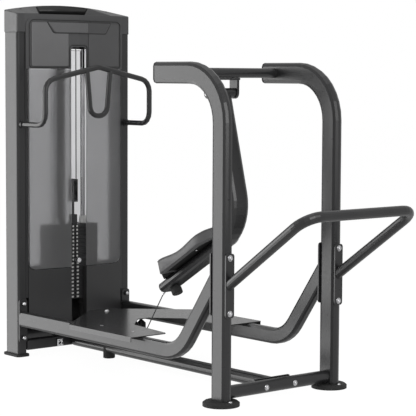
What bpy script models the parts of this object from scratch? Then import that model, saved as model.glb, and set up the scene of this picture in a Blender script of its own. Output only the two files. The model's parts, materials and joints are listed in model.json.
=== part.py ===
"""Standing glute kickback machine: a weight tower, a platform and a hinged kick arm.

X runs from the tower towards the guard rail, Y across the machine and Z up, in metres.
Stations along X are measured from the tower's centre line, and an empty carries the whole
machine so that its box is centred on the origin.
"""
import math

import bmesh
import bpy
from mathutils import Matrix, Vector

# Gaps
seat_gap = 0.0003
running_gap = 0.0004

# Weight tower
tower_width = 0.653
upright_depth = 0.110
upright_width = 0.050
upright_corner = 0.0125
cap_joint_height = 1.528
tower_foot_height = 0.012
tower_foot_overhang = 0.012
tower_foot_corner = 0.020
base_beam_station = 0.030
base_beam_depth = 0.050
base_beam_height = 0.048
base_beam_middle = 0.051
base_beam_edge = 0.006
base_tab_size = 0.036
base_tab_thickness = 0.004
base_tab_side = -0.090
base_tab_hole = 0.006
top_beam_bottom = 1.455
top_beam_height = 0.050
top_beam_front = 0.045
top_beam_back = -0.057
top_beam_edge = 0.004
anchor_tab_half = 0.014
anchor_tab_rise = 0.004
anchor_tab_thickness = 0.008
anchor_tab_reach = 0.012
cap_front_height = 0.089
cap_back_height = 0.107
cap_crown = 0.029
cap_wall = 0.005
cap_edge = 0.004
scoop_wall = 0.009
scoop_step = 0.002
scoop_back_half = 0.131
scoop_front_half = 0.236
scoop_draft = 0.64
scoop_round = 0.018
rear_cover_depth = 0.030
rear_cover_bottom = 0.120
rear_cover_overlap = 0.020
rear_cover_edge = 0.004
rear_cover_top_gap = 0.004
rear_throat_half = 0.030
rear_throat_reach = 0.012
sheet = 0.003

# Shroud in front of the stack, a shallow prow with a slot in the middle
prow_nose = 0.0958
prow_side = 0.0594
prow_slope = (prow_nose - prow_side) / (tower_width / 2 - upright_width)
slot_half = 0.044
slot_top = 1.4636
slot_corner = 0.018
panel_thickness = 0.003
panel_side_gap = 0.006
panel_gap = 0.003
panel_round = 0.003
panel_strip_lap = 0.014
panel_strip_sink = 0.0075
panel_low_round = 0.006
lower_flange_depth = 0.030
lower_panel_bottom = 0.150
window_bottom = 0.412
window_top = 1.3575
window_corner = 0.036
window_round = 0.004
placard_bottom = 1.359
placard_top = 1.594
placard_corner = 0.032
placard_overlap = 0.004
placard_low_round = 0.004
ridge_half = 0.004

# Weight stack
plate_pitch = 0.018
plate_width = 0.275
plate_depth = 0.105
plate_station = 0.005
plate_corner = 0.006
plate_chamfer = 0.0012
plate_count = 20
lifted_count = 10
stack_bottom = 0.2525
guide_radius = 0.0112
guide_spread = 0.082
guide_clearance = 0.0012
stem_radius = 0.011
stem_clearance = 0.0012
pin_radius = 0.0045
pin_clearance = 0.0008
knob_radius = 0.012
knob_length = 0.022
knob_station = 0.073
knob_round = 0.003
buffer_radius = 0.024
buffer_neck = 0.005
buffer_cap = 0.034
buffer_round = 0.004
head_width = 0.030
head_height = 0.048
head_edge = 0.002
stem_reach = 0.140
stem_grip = 0.010
link_radius = 0.006

# Cable and pulleys
lift_line = 0.040
cable_radius = 0.0025
lift_pulley_pitch = 0.0245
base_pulley_pitch = 0.045
pulley_width = 0.014
pulley_flange = 0.004
pulley_hub_wall = 0.006
pulley_web_inset = 0.0025
pulley_rim_inset = 0.0005
pulley_rim_band = 0.003
groove_flare = 0.0015
groove_clearance = 0.0008
cable_joint = 0.060
axle_radius = 0.006
fork_plate = 0.003
fork_side_gap = 0.0015
fork_width = 0.034
fork_pin_end = 0.004
weld_depth = 0.002
lift_link_length = 0.061
lift_pulley_rise = 0.0685
lift_block_crest = 0.041
lift_block_width = 0.048
lift_block_foot = 0.010
lift_pin_end = 0.005
return_line = -0.062
top_pulley_drop = 0.050
base_pulley_height = 0.130
platform_pulley_station = 0.535

# Hand rail on the tower
hand_rail_radius = 0.0125
hand_rail_reach = 0.250
hand_rail_low = 1.099
hand_rail_peak = 1.368
hand_rail_slope = 0.2174
hand_rail_flange = 0.017
hand_rail_flange_thickness = 0.014
hand_rail_low_bend = 0.055
hand_rail_top_bend = 0.060
loop_top_half = 0.068
loop_bottom_half = 0.046
loop_bottom = 1.127

# Side rails and platform
rail_height = 0.070
rail_width = 0.045
rail_corner = 0.012
rail_middle = 0.180
rail_spread = 0.303
rail_bend_radius = 0.170
rail_angle = math.radians(54.5)
rail_bend_station = 1.235
end_plate = 0.006
front_plate_low = 0.070
front_plate_high = 0.275
rear_plate_low = 0.362
rear_plate_high = 0.622
end_plate_corner = 0.012
trim_run = 0.030
platform_sheet = 0.004
platform_half = 0.372
platform_nose_station = 0.240
platform_nose_half = 0.050
platform_wide_station = 0.530
platform_rear_station = 0.990
platform_lip = 0.018
platform_lip_inset = 0.005
platform_corner = 0.020
platform_rear_corner = 0.006
slot_mouth_half = 0.178
slot_throat_half = 0.147
slot_throat_station = 0.715
slot_end_half = 0.030
slot_end_station = 0.592
slot_mouth_corner = 0.018
slot_throat_corner = 0.030
slot_end_corner = 0.008

# Spine, rear columns and guard rail
spine_radius = 0.027
spine_height = 0.050
stub_station = 0.330
stub_radius = 0.0215
stub_flare = 0.027
stub_top = 0.079
stub_flare_top = 0.012
stub_flare_edge = 0.004
spine_flange_width = 0.200
spine_flange_height = 0.056
spine_flange_corner = 0.008
platform_fork_half = 0.028
platform_fork_sink = 0.006
column_station = 1.500
column_depth = 0.090
column_width = 0.045
column_corner = 0.017
column_spread = 0.305
arm_height = 1.3425
arm_bend_radius = 0.200
arm_front_station = 1.078
end_plug = 0.010
end_plug_edge = 0.004
disc_radius = 0.076
disc_height = 0.020
disc_slope = 0.008
disc_edge = 0.006
guard_radius = 0.0212
guard_low = 0.494
guard_high = 0.797
guard_station = 1.988
guard_bend_radius = 0.080

# Pivot and kick arm
crossbar_station = 1.157
crossbar_radius = 0.0212
pivot_station = 1.138
pivot_drop = 0.0855
pivot_height = arm_height - pivot_drop
pivot_pin_radius = 0.010
ear_inner = 0.066
ear_plate = 0.012
ear_depth = 0.050
ear_weld = 0.004
bracket_reach = 0.012
bracket_thickness = 0.0085
pin_head_height = 0.006
pin_head_flange = 0.005
pin_head_slope = 0.002
sleeve_radius = 0.021
sleeve_drop = 0.006
kick_width = 0.090
kick_depth = 0.045
kick_corner = 0.017
kick_rise = math.radians(30.9)
kick_corner_station = 1.2817
kick_corner_height = 0.688
kick_top_offset = 0.003
kick_bend_radius = 0.195
kick_lower_length = 0.601
kick_end_plug = 0.008
kick_plug_edge = 0.0035
bumper_radius = 0.025
bumper_length = 0.035
bumper_place = 0.058
bumper_round = 0.003
bumper_collar = 0.006
anchor_radius = 0.009
anchor_nut = 0.006
anchor_neck = 0.0055
anchor_tip_reach = 0.0415
anchor_tip_drop = 0.016
anchor_socket_length = 0.012
anchor_knuckle_half = 0.004
board_thickness = 0.009
board_width = 0.230
board_start = 0.123
board_length = 0.322
board_front_round = 0.010
board_end_round = 0.075
pad_width = 0.240
pad_start = 0.119
pad_length = 0.380
pad_nose_height = 0.050
pad_height = 0.034
pad_tail_drop = 0.012
pad_nose_share = 0.42
pad_tail_share = 0.28
pad_front_round = 0.016
pad_end_round = 0.112
pad_front_lean = 0.235
pad_lean_reach = 0.100
pad_crown_inset = 0.030
pad_crown_rise = 0.004
pad_levels = ((0.010, 0.0), (0.003, 0.14), (0.0, 0.45), (0.002, 0.80), (0.012, 1.0))


def fresh_scene():
    for obj in list(bpy.data.objects):
        bpy.data.objects.remove(obj, do_unlink=True)


def new_collection(name):
    group = bpy.data.collections.new(name)
    bpy.context.scene.collection.children.link(group)
    return group


def new_material(name, colour, roughness, metallic=0.0, alpha=1.0):
    mat = bpy.data.materials.new(name)
    mat.use_nodes = True
    shader = mat.node_tree.nodes["Principled BSDF"]
    shader.inputs["Base Color"].default_value = (*colour, 1.0)
    shader.inputs["Roughness"].default_value = roughness
    shader.inputs["Metallic"].default_value = metallic
    shader.inputs["Alpha"].default_value = alpha
    mat.diffuse_color = (*colour, alpha)
    return mat


def object_from(name, data, group):
    obj = bpy.data.objects.new(name, data)
    group.objects.link(obj)
    if group is helpers:
        obj.hide_render = True
        obj.display_type = "WIRE"
    return obj


def mesh_object(name, bm, group):
    bmesh.ops.recalc_face_normals(bm, faces=bm.faces)
    mesh = bpy.data.meshes.new(name)
    bm.to_mesh(mesh)
    bm.free()
    return object_from(name, mesh, group)


def arc_points(corner, before, after, radius, steps):
    """Points of the arc of that radius that rounds a corner between two straight runs."""
    into = (before - corner).normalized()
    out = (after - corner).normalized()
    half = into.angle(out) / 2
    if radius <= 0 or half > math.pi / 2 - 0.01:
        return [corner]
    centre = corner + (into + out).normalized() * radius / math.sin(half)
    start = corner + into * radius / math.tan(half)
    spoke = (start - centre).normalized()
    sweep = math.pi - 2 * half
    points = []
    for step in range(steps + 1):
        turn = sweep * step / steps
        points.append(centre + radius * (spoke * math.cos(turn) - into * math.sin(turn)))
    return points


def rounded_path(corners, steps=8):
    """An open path through (point, radius) corners, each rounded by its radius."""
    places = [Vector(place) for place, radius in corners]
    points = [places[0]]
    for index in range(1, len(places) - 1):
        points += arc_points(
            places[index], places[index - 1], places[index + 1], corners[index][1], steps
        )
    return points + [places[-1]]


def rounded_outline(corners, steps=3):
    """A closed flat outline through (x, y, radius) corners."""
    places = [Vector((x, y, 0.0)) for x, y, radius in corners]
    count = len(places)
    points = []
    for index in range(count):
        points += arc_points(
            places[index],
            places[index - 1],
            places[(index + 1) % count],
            corners[index][2],
            steps,
        )
    return points


def rectangle(width, height, radius, steps=3):
    x = width / 2
    y = height / 2
    return rounded_outline([(x, y, radius), (-x, y, radius), (-x, -y, radius), (x, -y, radius)], steps)


def spline_curve(name, points, group, cyclic=False, flat=False):
    curve = bpy.data.curves.new(name, "CURVE")
    curve.dimensions = "2D" if flat else "3D"
    spline = curve.splines.new("POLY")
    spline.points.add(len(points) - 1)
    for slot, point in zip(spline.points, points):
        slot.co = (point[0], point[1], point[2], 1.0)
    spline.use_cyclic_u = cyclic
    return object_from(name, curve, group)


def round_tube(name, points, radius, group, resolution=4):
    obj = spline_curve(name, points, group)
    obj.data.bevel_depth = radius
    obj.data.bevel_resolution = resolution
    obj.data.use_fill_caps = True
    return obj


# A flat curve drawn in X and Y stands up in the plane of X and Z, at its own Y.
upright_plane = Matrix.Rotation(math.pi / 2, 4, "X")


def section_tube(name, corners, width, depth, radius, side, group, steps=8):
    """A flattened tube whose centre line lies in a plane of constant Y."""
    guide = spline_curve(name + "_section", rectangle(depth, width, radius, 2), helpers, True, True)
    guide.data.fill_mode = "NONE"
    flat = [((x, z, 0.0), bend) for x, z, bend in corners]
    obj = spline_curve(name, rounded_path(flat, steps), group, flat=True)
    obj.data.fill_mode = "NONE"
    obj.data.bevel_mode = "OBJECT"
    obj.data.bevel_object = guide
    obj.data.use_fill_caps = True
    obj.matrix_world = Matrix.Translation((0.0, side, 0.0)) @ upright_plane
    return obj


def flat_plate(name, outline, thickness, place, group):
    """An outline in its own X and Y, extruded evenly to both sides, then put in place."""
    obj = spline_curve(name, outline, group, cyclic=True, flat=True)
    obj.data.fill_mode = "BOTH"
    obj.data.extrude = thickness / 2
    obj.matrix_world = place
    return obj


def as_mesh(curve_object, group=None):
    """The curve's own solid as a mesh object, with its caps welded on."""
    bpy.context.view_layer.update()
    graph = bpy.context.evaluated_depsgraph_get()
    mesh = bpy.data.meshes.new_from_object(curve_object.evaluated_get(graph))
    bm = bmesh.new()
    bm.from_mesh(mesh)
    bmesh.ops.transform(bm, matrix=curve_object.matrix_world, verts=bm.verts)
    bmesh.ops.remove_doubles(bm, verts=bm.verts, dist=0.00001)
    bmesh.ops.recalc_face_normals(bm, faces=bm.faces)
    bm.to_mesh(mesh)
    bm.free()
    name = curve_object.name
    home = group or curve_object.users_collection[0]
    bpy.data.objects.remove(curve_object)
    mesh.name = name
    return object_from(name, mesh, home)


def block(name, low, high, group, edge=0.0):
    """A box between two corners, with its edges bevelled by edge."""
    low = Vector(low)
    high = Vector(high)
    bm = bmesh.new()
    bmesh.ops.create_cube(bm, size=1.0)
    size = high - low
    bmesh.ops.scale(bm, vec=size, verts=bm.verts)
    bmesh.ops.translate(bm, vec=(low + high) / 2, verts=bm.verts)
    obj = mesh_object(name, bm, group)
    if edge:
        bevel(obj, edge, 2)
    return obj


def rod(name, start, end, radius, group, sides=24):
    """A cylinder from start to end."""
    start = Vector(start)
    end = Vector(end)
    bm = bmesh.new()
    bmesh.ops.create_cone(
        bm,
        cap_ends=True,
        segments=sides,
        radius1=radius,
        radius2=radius,
        depth=(end - start).length,
    )
    turn = (end - start).to_track_quat("Z", "Y").to_matrix().to_4x4()
    bmesh.ops.transform(bm, matrix=Matrix.Translation((start + end) / 2) @ turn, verts=bm.verts)
    return mesh_object(name, bm, group)


def turned(name, profile, place, group, steps=24):
    """A profile of (radius, height) points, top to bottom, turned about its own Z."""
    bm = bmesh.new()
    spots = [bm.verts.new((radius, 0.0, height)) for radius, height in profile]
    for first, second in zip(spots, spots[1:]):
        bm.edges.new((first, second))
    mesh = bpy.data.meshes.new(name)
    bm.to_mesh(mesh)
    bm.free()
    obj = object_from(name, mesh, group)
    screw = obj.modifiers.new("Turn", "SCREW")
    screw.steps = steps
    screw.render_steps = steps
    screw.use_merge_vertices = True
    screw.merge_threshold = 0.00001
    obj.matrix_world = place
    return obj


def loft(name, rings, group):
    """Closed rings of equal count, bridged one to the next and closed by a face at each end."""
    bm = bmesh.new()
    levels = [[bm.verts.new(point) for point in ring] for ring in rings]
    count = len(rings[0])
    for lower, upper in zip(levels, levels[1:]):
        for index in range(count):
            following = (index + 1) % count
            bm.faces.new((lower[index], lower[following], upper[following], upper[index]))
    bm.faces.new(levels[0])
    bm.faces.new(levels[-1])
    return mesh_object(name, bm, group)


def bevel(obj, width, segments=2, angle=40):
    edge = obj.modifiers.new("Edges", "BEVEL")
    edge.width = width
    edge.segments = segments
    edge.limit_method = "ANGLE"
    edge.angle_limit = math.radians(angle)
    return edge


def boolean(obj, other, operation):
    cut = obj.modifiers.new(other.name, "BOOLEAN")
    cut.object = other
    cut.operation = operation
    cut.solver = "EXACT"


def join(obj, *others):
    for other in others:
        boolean(obj, other, "UNION")


def cut(obj, *others):
    for other in others:
        boolean(obj, other, "DIFFERENCE")


def facing(normal, centre, up=(0.0, 0.0, 1.0)):
    """The place of a flat outline: its X lies level, its Y along up and its face along normal."""
    out = Vector(normal).normalized()
    rise = Vector(up).normalized()
    across = rise.cross(out).normalized()
    turn = Matrix((across, rise, out)).transposed().to_4x4()
    return Matrix.Translation(Vector(centre)) @ turn


def bore_radius(radius, sides=24):
    """The corner radius of a faceted bore whose flats clear a round pin of that radius."""
    return radius / math.cos(math.pi / sides)


def upright_side(side):
    return side * (tower_width - upright_width) / 2


def prow(y):
    """The shroud's front face over the side y."""
    return prow_nose - prow_slope * abs(y)


def tower_frame():
    inner = tower_width / 2 - upright_width
    for side, word in ((-1, "left"), (1, "right")):
        y = upright_side(side)
        bottom = tower_foot_height + seat_gap
        height = cap_joint_height - bottom
        column = flat_plate(
            f"tower_upright_{word}",
            rectangle(upright_depth, upright_width, upright_corner, 4),
            height,
            Matrix.Translation((0.0, y, bottom + height / 2)),
            parts,
        )
        column = as_mesh(column)
        join(column, panel_strip(side, word))
        finish(column, black_frame)
        foot = flat_plate(
            f"tower_foot_{word}",
            rectangle(
                upright_depth + 2 * tower_foot_overhang,
                upright_width + 2 * tower_foot_overhang,
                tower_foot_corner,
                4,
            ),
            tower_foot_height,
            Matrix.Translation((0.0, y, tower_foot_height / 2)),
            parts,
        )
        foot = as_mesh(foot)
        bevel(foot, 0.0015, 1)
        finish(foot, black_rubber)

    beam_bottom = base_beam_middle - base_beam_height / 2
    beam_top = base_beam_middle + base_beam_height / 2
    back = base_beam_station - base_beam_depth / 2
    front = base_beam_station + base_beam_depth / 2
    reach = inner - seat_gap
    beam = block(
        "tower_base_beam",
        (back, -reach, beam_bottom),
        (front, reach, beam_top),
        parts,
        base_beam_edge,
    )
    tab_low = base_beam_middle - base_tab_size / 2
    tab_front = front + base_tab_thickness
    tab = block(
        "base_tab",
        (front - weld_depth, base_tab_side - base_tab_size / 2, tab_low),
        (tab_front, base_tab_side + base_tab_size / 2, tab_low + base_tab_size),
        helpers,
    )
    hole = rod(
        "base_tab_hole",
        (front - weld_depth / 2, base_tab_side, base_beam_middle),
        (tab_front + 0.01, base_tab_side, base_beam_middle),
        base_tab_hole,
        helpers,
        16,
    )
    cut(tab, hole)
    middle = (base_pulley_station(), base_pulley_height)
    foot_range = (back + base_beam_edge, front - base_beam_edge)
    carrier = fork("base_fork", middle, foot_range, beam_top, 1)
    join(beam, tab, *carrier)
    finish(beam, black_frame)

    top_high = top_beam_bottom + top_beam_height
    top_beam = block(
        "tower_top_beam",
        (top_beam_back, -reach, top_beam_bottom),
        (top_beam_front, reach, top_high),
        parts,
        top_beam_edge,
    )
    tab_low = top_beam_bottom + anchor_tab_rise
    tab = block(
        "top_anchor_tab",
        (top_beam_front - weld_depth, -anchor_tab_half, tab_low),
        (anchor_line() + anchor_tab_reach, anchor_tab_half, tab_low + anchor_tab_thickness),
        helpers,
    )
    middle = (top_pulley_station(), top_pulley_height())
    base = (middle[0] - fork_width / 2, middle[0] + fork_width / 2)
    carrier = fork("top_fork", middle, base, top_beam_bottom, -1)
    join(top_beam, tab, *carrier)
    finish(top_beam, black_frame)


def panel_strip(side, word):
    """The strip on an upright that the shroud's panels are screwed to, close behind them."""
    stretch = 1 / math.cos(math.atan(prow_slope))
    inner = tower_width / 2 - upright_width
    near = (inner - panel_strip_lap) * stretch
    far = (inner + panel_strip_sink) * stretch
    low = front_plate_high + panel_gap
    high = cap_joint_height - seat_gap
    outline = [
        (near, low, 0.0),
        (far, low, 0.0),
        (far, high, 0.0),
        (near, high, 0.0),
    ]
    place = prow_plane(side, panel_thickness + seat_gap + sheet / 2)
    strip = flat_plate(f"panel_strip_{word}", rounded_outline(outline, 1), sheet, place, helpers)
    return as_mesh(strip, helpers)


def top_pulley_pitch():
    """The top pulley reaches from the cable's up run to its return run."""
    return (lift_line - lift_pulley_pitch - return_line) / 2


def anchor_line():
    """The lifting cable hangs from the top beam on this line."""
    return lift_line + lift_pulley_pitch


def top_pulley_station():
    return return_line + top_pulley_pitch()


def top_pulley_height():
    return top_beam_bottom - top_pulley_drop


def base_pulley_station():
    return return_line + base_pulley_pitch


def fork(name, centre, foot, seat, up):
    """Two ears and a pin that carry a pulley, welded along foot to the face at seat."""
    x, z = centre
    inner = pulley_width / 2 + fork_side_gap
    outer = inner + fork_plate
    base = seat - up * weld_depth
    shapes = []
    for side in (-1, 1):
        outline = rounded_outline(
            [
                (foot[0], base, 0.0),
                (foot[1], base, 0.0),
                (x + fork_width / 2, z + up * fork_width / 2, fork_width * 0.45),
                (x - fork_width / 2, z + up * fork_width / 2, fork_width * 0.45),
            ],
            5,
        )
        ear = flat_plate(
            f"{name}_ear_{side}",
            outline,
            fork_plate,
            Matrix.Translation((0.0, side * (inner + outer) / 2, 0.0)) @ upright_plane,
            helpers,
        )
        shapes.append(as_mesh(ear, helpers))
    end = outer + fork_pin_end
    pin = rod(f"{name}_pin", (x, -end, z), (x, end, z), axle_radius, helpers, 16)
    return [*shapes, pin]


def pulley(name, centre, pitch, parent):
    """A grooved pulley that turns on its fork's pin."""
    half = pulley_width / 2
    root = pitch - cable_radius - groove_clearance
    rim = pitch + pulley_flange
    bore = bore_radius(axle_radius + running_gap, 16)
    groove = cable_radius + groove_clearance
    hub = bore + pulley_hub_wall
    web = half - pulley_web_inset
    shoulder = half - pulley_rim_inset
    band = root - pulley_rim_band
    lip = groove + groove_flare
    profile = [
        (bore, half),
        (hub, half),
        (hub + pulley_rim_inset, web),
        (band - pulley_rim_band, web),
        (band, shoulder),
        (rim, shoulder),
        (rim, lip),
        (root, cable_radius),
        (root, -cable_radius),
        (rim, -lip),
        (rim, -shoulder),
        (band, -shoulder),
        (band - pulley_rim_band, -web),
        (hub + pulley_rim_inset, -web),
        (hub, -half),
        (bore, -half),
        (bore, half),
    ]
    x, z = centre
    place = Matrix.Translation((x, 0.0, z)) @ Matrix.Rotation(math.pi / 2, 4, "X")
    wheel = turned(name, profile, place, parts, 16)
    return finish(wheel, pulley_plastic, parent)


def cap_front(y):
    """The cap's front face: flush with the uprights, then parallel to the shroud."""
    return max(upright_depth / 2, prow(y) - panel_thickness - seat_gap)


def cap_top(x, y):
    """The cap's sloping top: level along its front, arched along its back."""
    back = -upright_depth / 2
    share = (x - back) / (cap_front(y) - back)
    arch = cap_back_height + cap_crown * (1 - (2 * y / tower_width) ** 2)
    return cap_joint_height + cap_front_height * share + arch * (1 - share)


def cap_stations(half, count):
    spots = [half * (2 * step / count - 1) for step in range(count + 1)]
    flush = (prow_nose - panel_thickness - seat_gap - upright_depth / 2) / prow_slope
    spots += [-flush, flush] if flush < half else []
    return sorted(spots)


def cap_skin(name, low, high, y_half, depths, count, group):
    """A solid whose upper face follows the cap's top, raised by high and floored at low."""
    back, front = depths
    rings = []
    for y in cap_stations(y_half, count):
        x0 = back(y)
        x1 = front(y)
        rings.append(
            [
                (x0, y, low(x0, y)),
                (x1, y, low(x1, y)),
                (x1, y, high(x1, y)),
                (x0, y, high(x0, y)),
            ]
        )
    return loft(name, rings, group)


def top_cap():
    back = -upright_depth / 2
    floor = cap_joint_height + seat_gap
    half = tower_width / 2
    cap = cap_skin(
        "top_cap",
        lambda x, y: floor,
        cap_top,
        half,
        (lambda y: back, cap_front),
        12,
        parts,
    )
    hollow = cap_skin(
        "top_cap_hollow",
        lambda x, y: floor - 0.01,
        lambda x, y: cap_top(x, y) - cap_wall,
        half - cap_wall,
        (lambda y: back + cap_wall, lambda y: cap_front(y) - cap_wall),
        12,
        helpers,
    )
    cut(hollow, cap_scoop("top_cap_scoop_shell", cap_wall))
    bevel(cap, cap_edge, 2)
    cut(cap, hollow, cap_scoop("top_cap_scoop", 0.0))
    finish(cap, grey_plastic)


def cap_scoop(name, grow):
    """The dish in the cap's top: open at the front, its back and side walls leaning outwards."""
    back = -upright_depth / 2 + scoop_wall - grow
    floor = cap_joint_height + cap_front_height - scoop_step - grow
    rings = []
    for rise in (0.0, 2 * cap_crown):
        spread = rise * scoop_draft + grow
        near = scoop_back_half + spread
        wide = scoop_front_half + spread
        outline = rounded_outline(
            [
                (back, -near, scoop_round),
                (prow_nose, -wide, 0.0),
                (prow_nose, wide, 0.0),
                (back, near, scoop_round),
            ],
            5,
        )
        rings.append([(flat.x, flat.y, floor + rise) for flat in outline])
    return loft(name, rings, helpers)


def prow_plane(side, depth_in):
    """The place of a flat panel on one side of the prow: its X runs outward from the nose."""
    slope = math.atan(prow_slope)
    run = Vector((-math.sin(slope), side * math.cos(slope), 0.0))
    out = Vector((math.cos(slope), side * math.sin(slope), 0.0))
    centre = Vector((prow_nose, 0.0, 0.0)) - out * depth_in
    turn = Matrix((run, Vector((0.0, 0.0, 1.0)), out)).transposed().to_4x4()
    return Matrix.Translation(centre) @ turn


def shroud():
    """Placard panel, windows and lower panels, all in the two planes of the prow."""
    stretch = 1 / math.cos(math.atan(prow_slope))
    inner = slot_half * stretch
    outer = (tower_width / 2 - upright_width - panel_side_gap) * stretch
    for side, word in ((-1, "left"), (1, "right")):
        place = prow_plane(side, panel_thickness / 2)
        window = [
            (inner, window_bottom, window_round),
            (outer, window_bottom, window_corner),
            (outer, window_top, window_round),
            (inner, window_top, window_round),
        ]
        pane = flat_plate(
            f"front_window_{word}", rounded_outline(window, 5), panel_thickness, place, parts
        )
        finish(as_mesh(pane), frosted_window)
        rise = window_bottom - panel_gap
        lower = [
            (inner, lower_panel_bottom, panel_round),
            (outer, lower_panel_bottom, panel_low_round),
        ]
        wide = window_corner + panel_gap
        first = math.acos(window_corner / wide)
        for step in range(7):
            turn = first + (math.pi / 2 - first) * step / 6
            across = outer - window_corner + wide * math.cos(turn)
            lower.append((across, window_bottom + window_corner - wide * math.sin(turn), 0.0))
        lower.append((inner, rise, panel_round))
        panel = flat_plate(
            f"front_lower_panel_{word}", rounded_outline(lower, 4), panel_thickness, place, helpers
        )
        panel = as_mesh(panel, parts)
        flange_y = side * slot_half
        flange_x = prow(slot_half)
        flange = block(
            f"lower_flange_{word}",
            (flange_x - lower_flange_depth, min(flange_y, flange_y + side * sheet), lower_panel_bottom),
            (flange_x - panel_thickness * 0.4, max(flange_y, flange_y + side * sheet), rise),
            helpers,
        )
        join(panel, flange)
        finish(panel, shroud_steel)

    halves = []
    placard_half = tower_width / 2 - upright_width + placard_overlap
    for side in (-1, 1):
        reach = placard_half * stretch
        outline = [
            (0.0, slot_top, 0.0),
            (inner, slot_top, slot_corner),
            (inner, placard_bottom, panel_round),
            (reach, placard_bottom, placard_low_round),
            (reach, placard_top, placard_corner),
            (0.0, placard_top, 0.0),
        ]
        half = flat_plate(
            f"placard_half_{side}",
            rounded_outline(outline, 5),
            panel_thickness,
            prow_plane(side, panel_thickness / 2),
            helpers,
        )
        halves.append(as_mesh(half, parts if side < 0 else helpers))
    ridge = block(
        "placard_ridge",
        (prow_nose - panel_thickness, -ridge_half, slot_top),
        (prow_nose - panel_thickness * 0.27, ridge_half, placard_top),
        helpers,
    )
    panel = halves[0]
    panel.name = "placard_panel"
    join(panel, ridge, halves[1])
    finish(panel, grey_plastic)


def rear_cover():
    """A shallow pan behind the tower, open towards the stack."""
    inner = tower_width / 2 - upright_width - seat_gap
    back = -upright_depth / 2 - rear_cover_depth
    front = -upright_depth / 2 + rear_cover_overlap
    top = top_beam_bottom - rear_cover_top_gap
    pan = block("rear_cover", (back, -inner, rear_cover_bottom), (front, inner, top), parts)
    room = block(
        "rear_cover_room",
        (back + sheet, -inner + sheet, rear_cover_bottom + sheet),
        (front + 0.01, inner - sheet, top - sheet),
        helpers,
    )
    throat = block(
        "rear_cover_throat",
        (return_line - rear_throat_reach, -rear_throat_half, rear_cover_bottom - 0.01),
        (front + 0.01, rear_throat_half, top + 0.01),
        helpers,
    )
    bevel(pan, rear_cover_edge, 2)
    cut(pan, room, throat)
    finish(pan, frosted_window)


def stack_parts():
    """Guide rods, buffers, weight plates, selector stem and pin, and the lifting block."""
    beam_top = base_beam_middle + base_beam_height / 2
    for side, word in ((-1, "left"), (1, "right")):
        y = side * guide_spread
        guide = rod(
            f"guide_rod_{word}",
            (plate_station, y, beam_top + seat_gap),
            (plate_station, y, top_beam_bottom - seat_gap),
            guide_radius,
            parts,
            24,
        )
        finish(guide, chrome)
        low = beam_top + seat_gap
        high = stack_bottom - seat_gap
        bore = bore_radius(guide_radius + seat_gap, 16)
        profile = [
            (bore, high),
            (buffer_radius - buffer_round, high),
            (buffer_radius, high - buffer_round),
            (buffer_radius, high - buffer_cap + buffer_round),
            (buffer_radius - buffer_neck, high - buffer_cap),
            (buffer_radius - buffer_neck, low),
            (bore, low),
            (bore, high),
        ]
        place = Matrix.Translation((plate_station, y, 0.0))
        finish(turned(f"stack_buffer_{word}", profile, place, parts, 16), black_rubber)

    resting = plate_count - lifted_count
    rest = plates("resting_plates", resting, stack_bottom)
    finish(rest, plate_iron)
    for number in range(1, lifted_count):
        z = stack_bottom + (resting + number - 1) * plate_pitch
        plate = plates(f"weight_plate_{lifted_count - number + 1:02d}", 1, z)
        finish(plate, plate_iron, stack_empty)
    top = plates("top_plate", 1, stack_bottom + (plate_count - 1) * plate_pitch)
    finish(top, plate_iron, stack_empty)

    stack_top = stack_bottom + plate_count * plate_pitch
    head_top = stack_top + head_height
    head = block(
        "stack_head",
        (lift_line - head_width / 2, -head_width / 2, stack_top),
        (lift_line + head_width / 2, head_width / 2, head_top),
        parts,
        head_edge,
    )
    pin_height = stack_bottom + (resting + 0.5) * plate_pitch
    stem = rod(
        "head_stem",
        (lift_line, 0.0, stack_bottom + resting * plate_pitch - stem_reach),
        (lift_line, 0.0, stack_top + stem_grip),
        stem_radius,
        helpers,
        20,
    )
    link = rod(
        "head_link",
        (lift_line, 0.0, head_top - stem_grip),
        (lift_line, 0.0, lift_block_bottom() - seat_gap),
        link_radius,
        helpers,
        16,
    )
    hole = rod(
        "head_pin_hole",
        (lift_line - 2 * stem_radius, 0.0, pin_height),
        (lift_line + 2 * stem_radius, 0.0, pin_height),
        bore_radius(pin_radius + pin_clearance, 16),
        helpers,
        16,
    )
    join(head, stem, link)
    cut(head, hole)
    finish(head, plate_iron, stack_empty)

    shaft = [
        (0.0, knob_station + knob_length),
        (knob_radius - knob_round, knob_station + knob_length),
        (knob_radius, knob_station + knob_length - knob_round),
        (knob_radius, knob_station + knob_round),
        (knob_radius - knob_round, knob_station),
        (pin_radius, knob_station),
        (pin_radius, lift_line - stem_radius * 0.7),
        (0.0, lift_line - stem_radius * 0.9),
    ]
    place = Matrix.Translation((0.0, 0.0, pin_height)) @ Matrix.Rotation(math.pi / 2, 4, "Y")
    finish(turned("selector_pin", shaft, place, parts, 16), bright_steel, stack_empty)

    lift_block()


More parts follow.
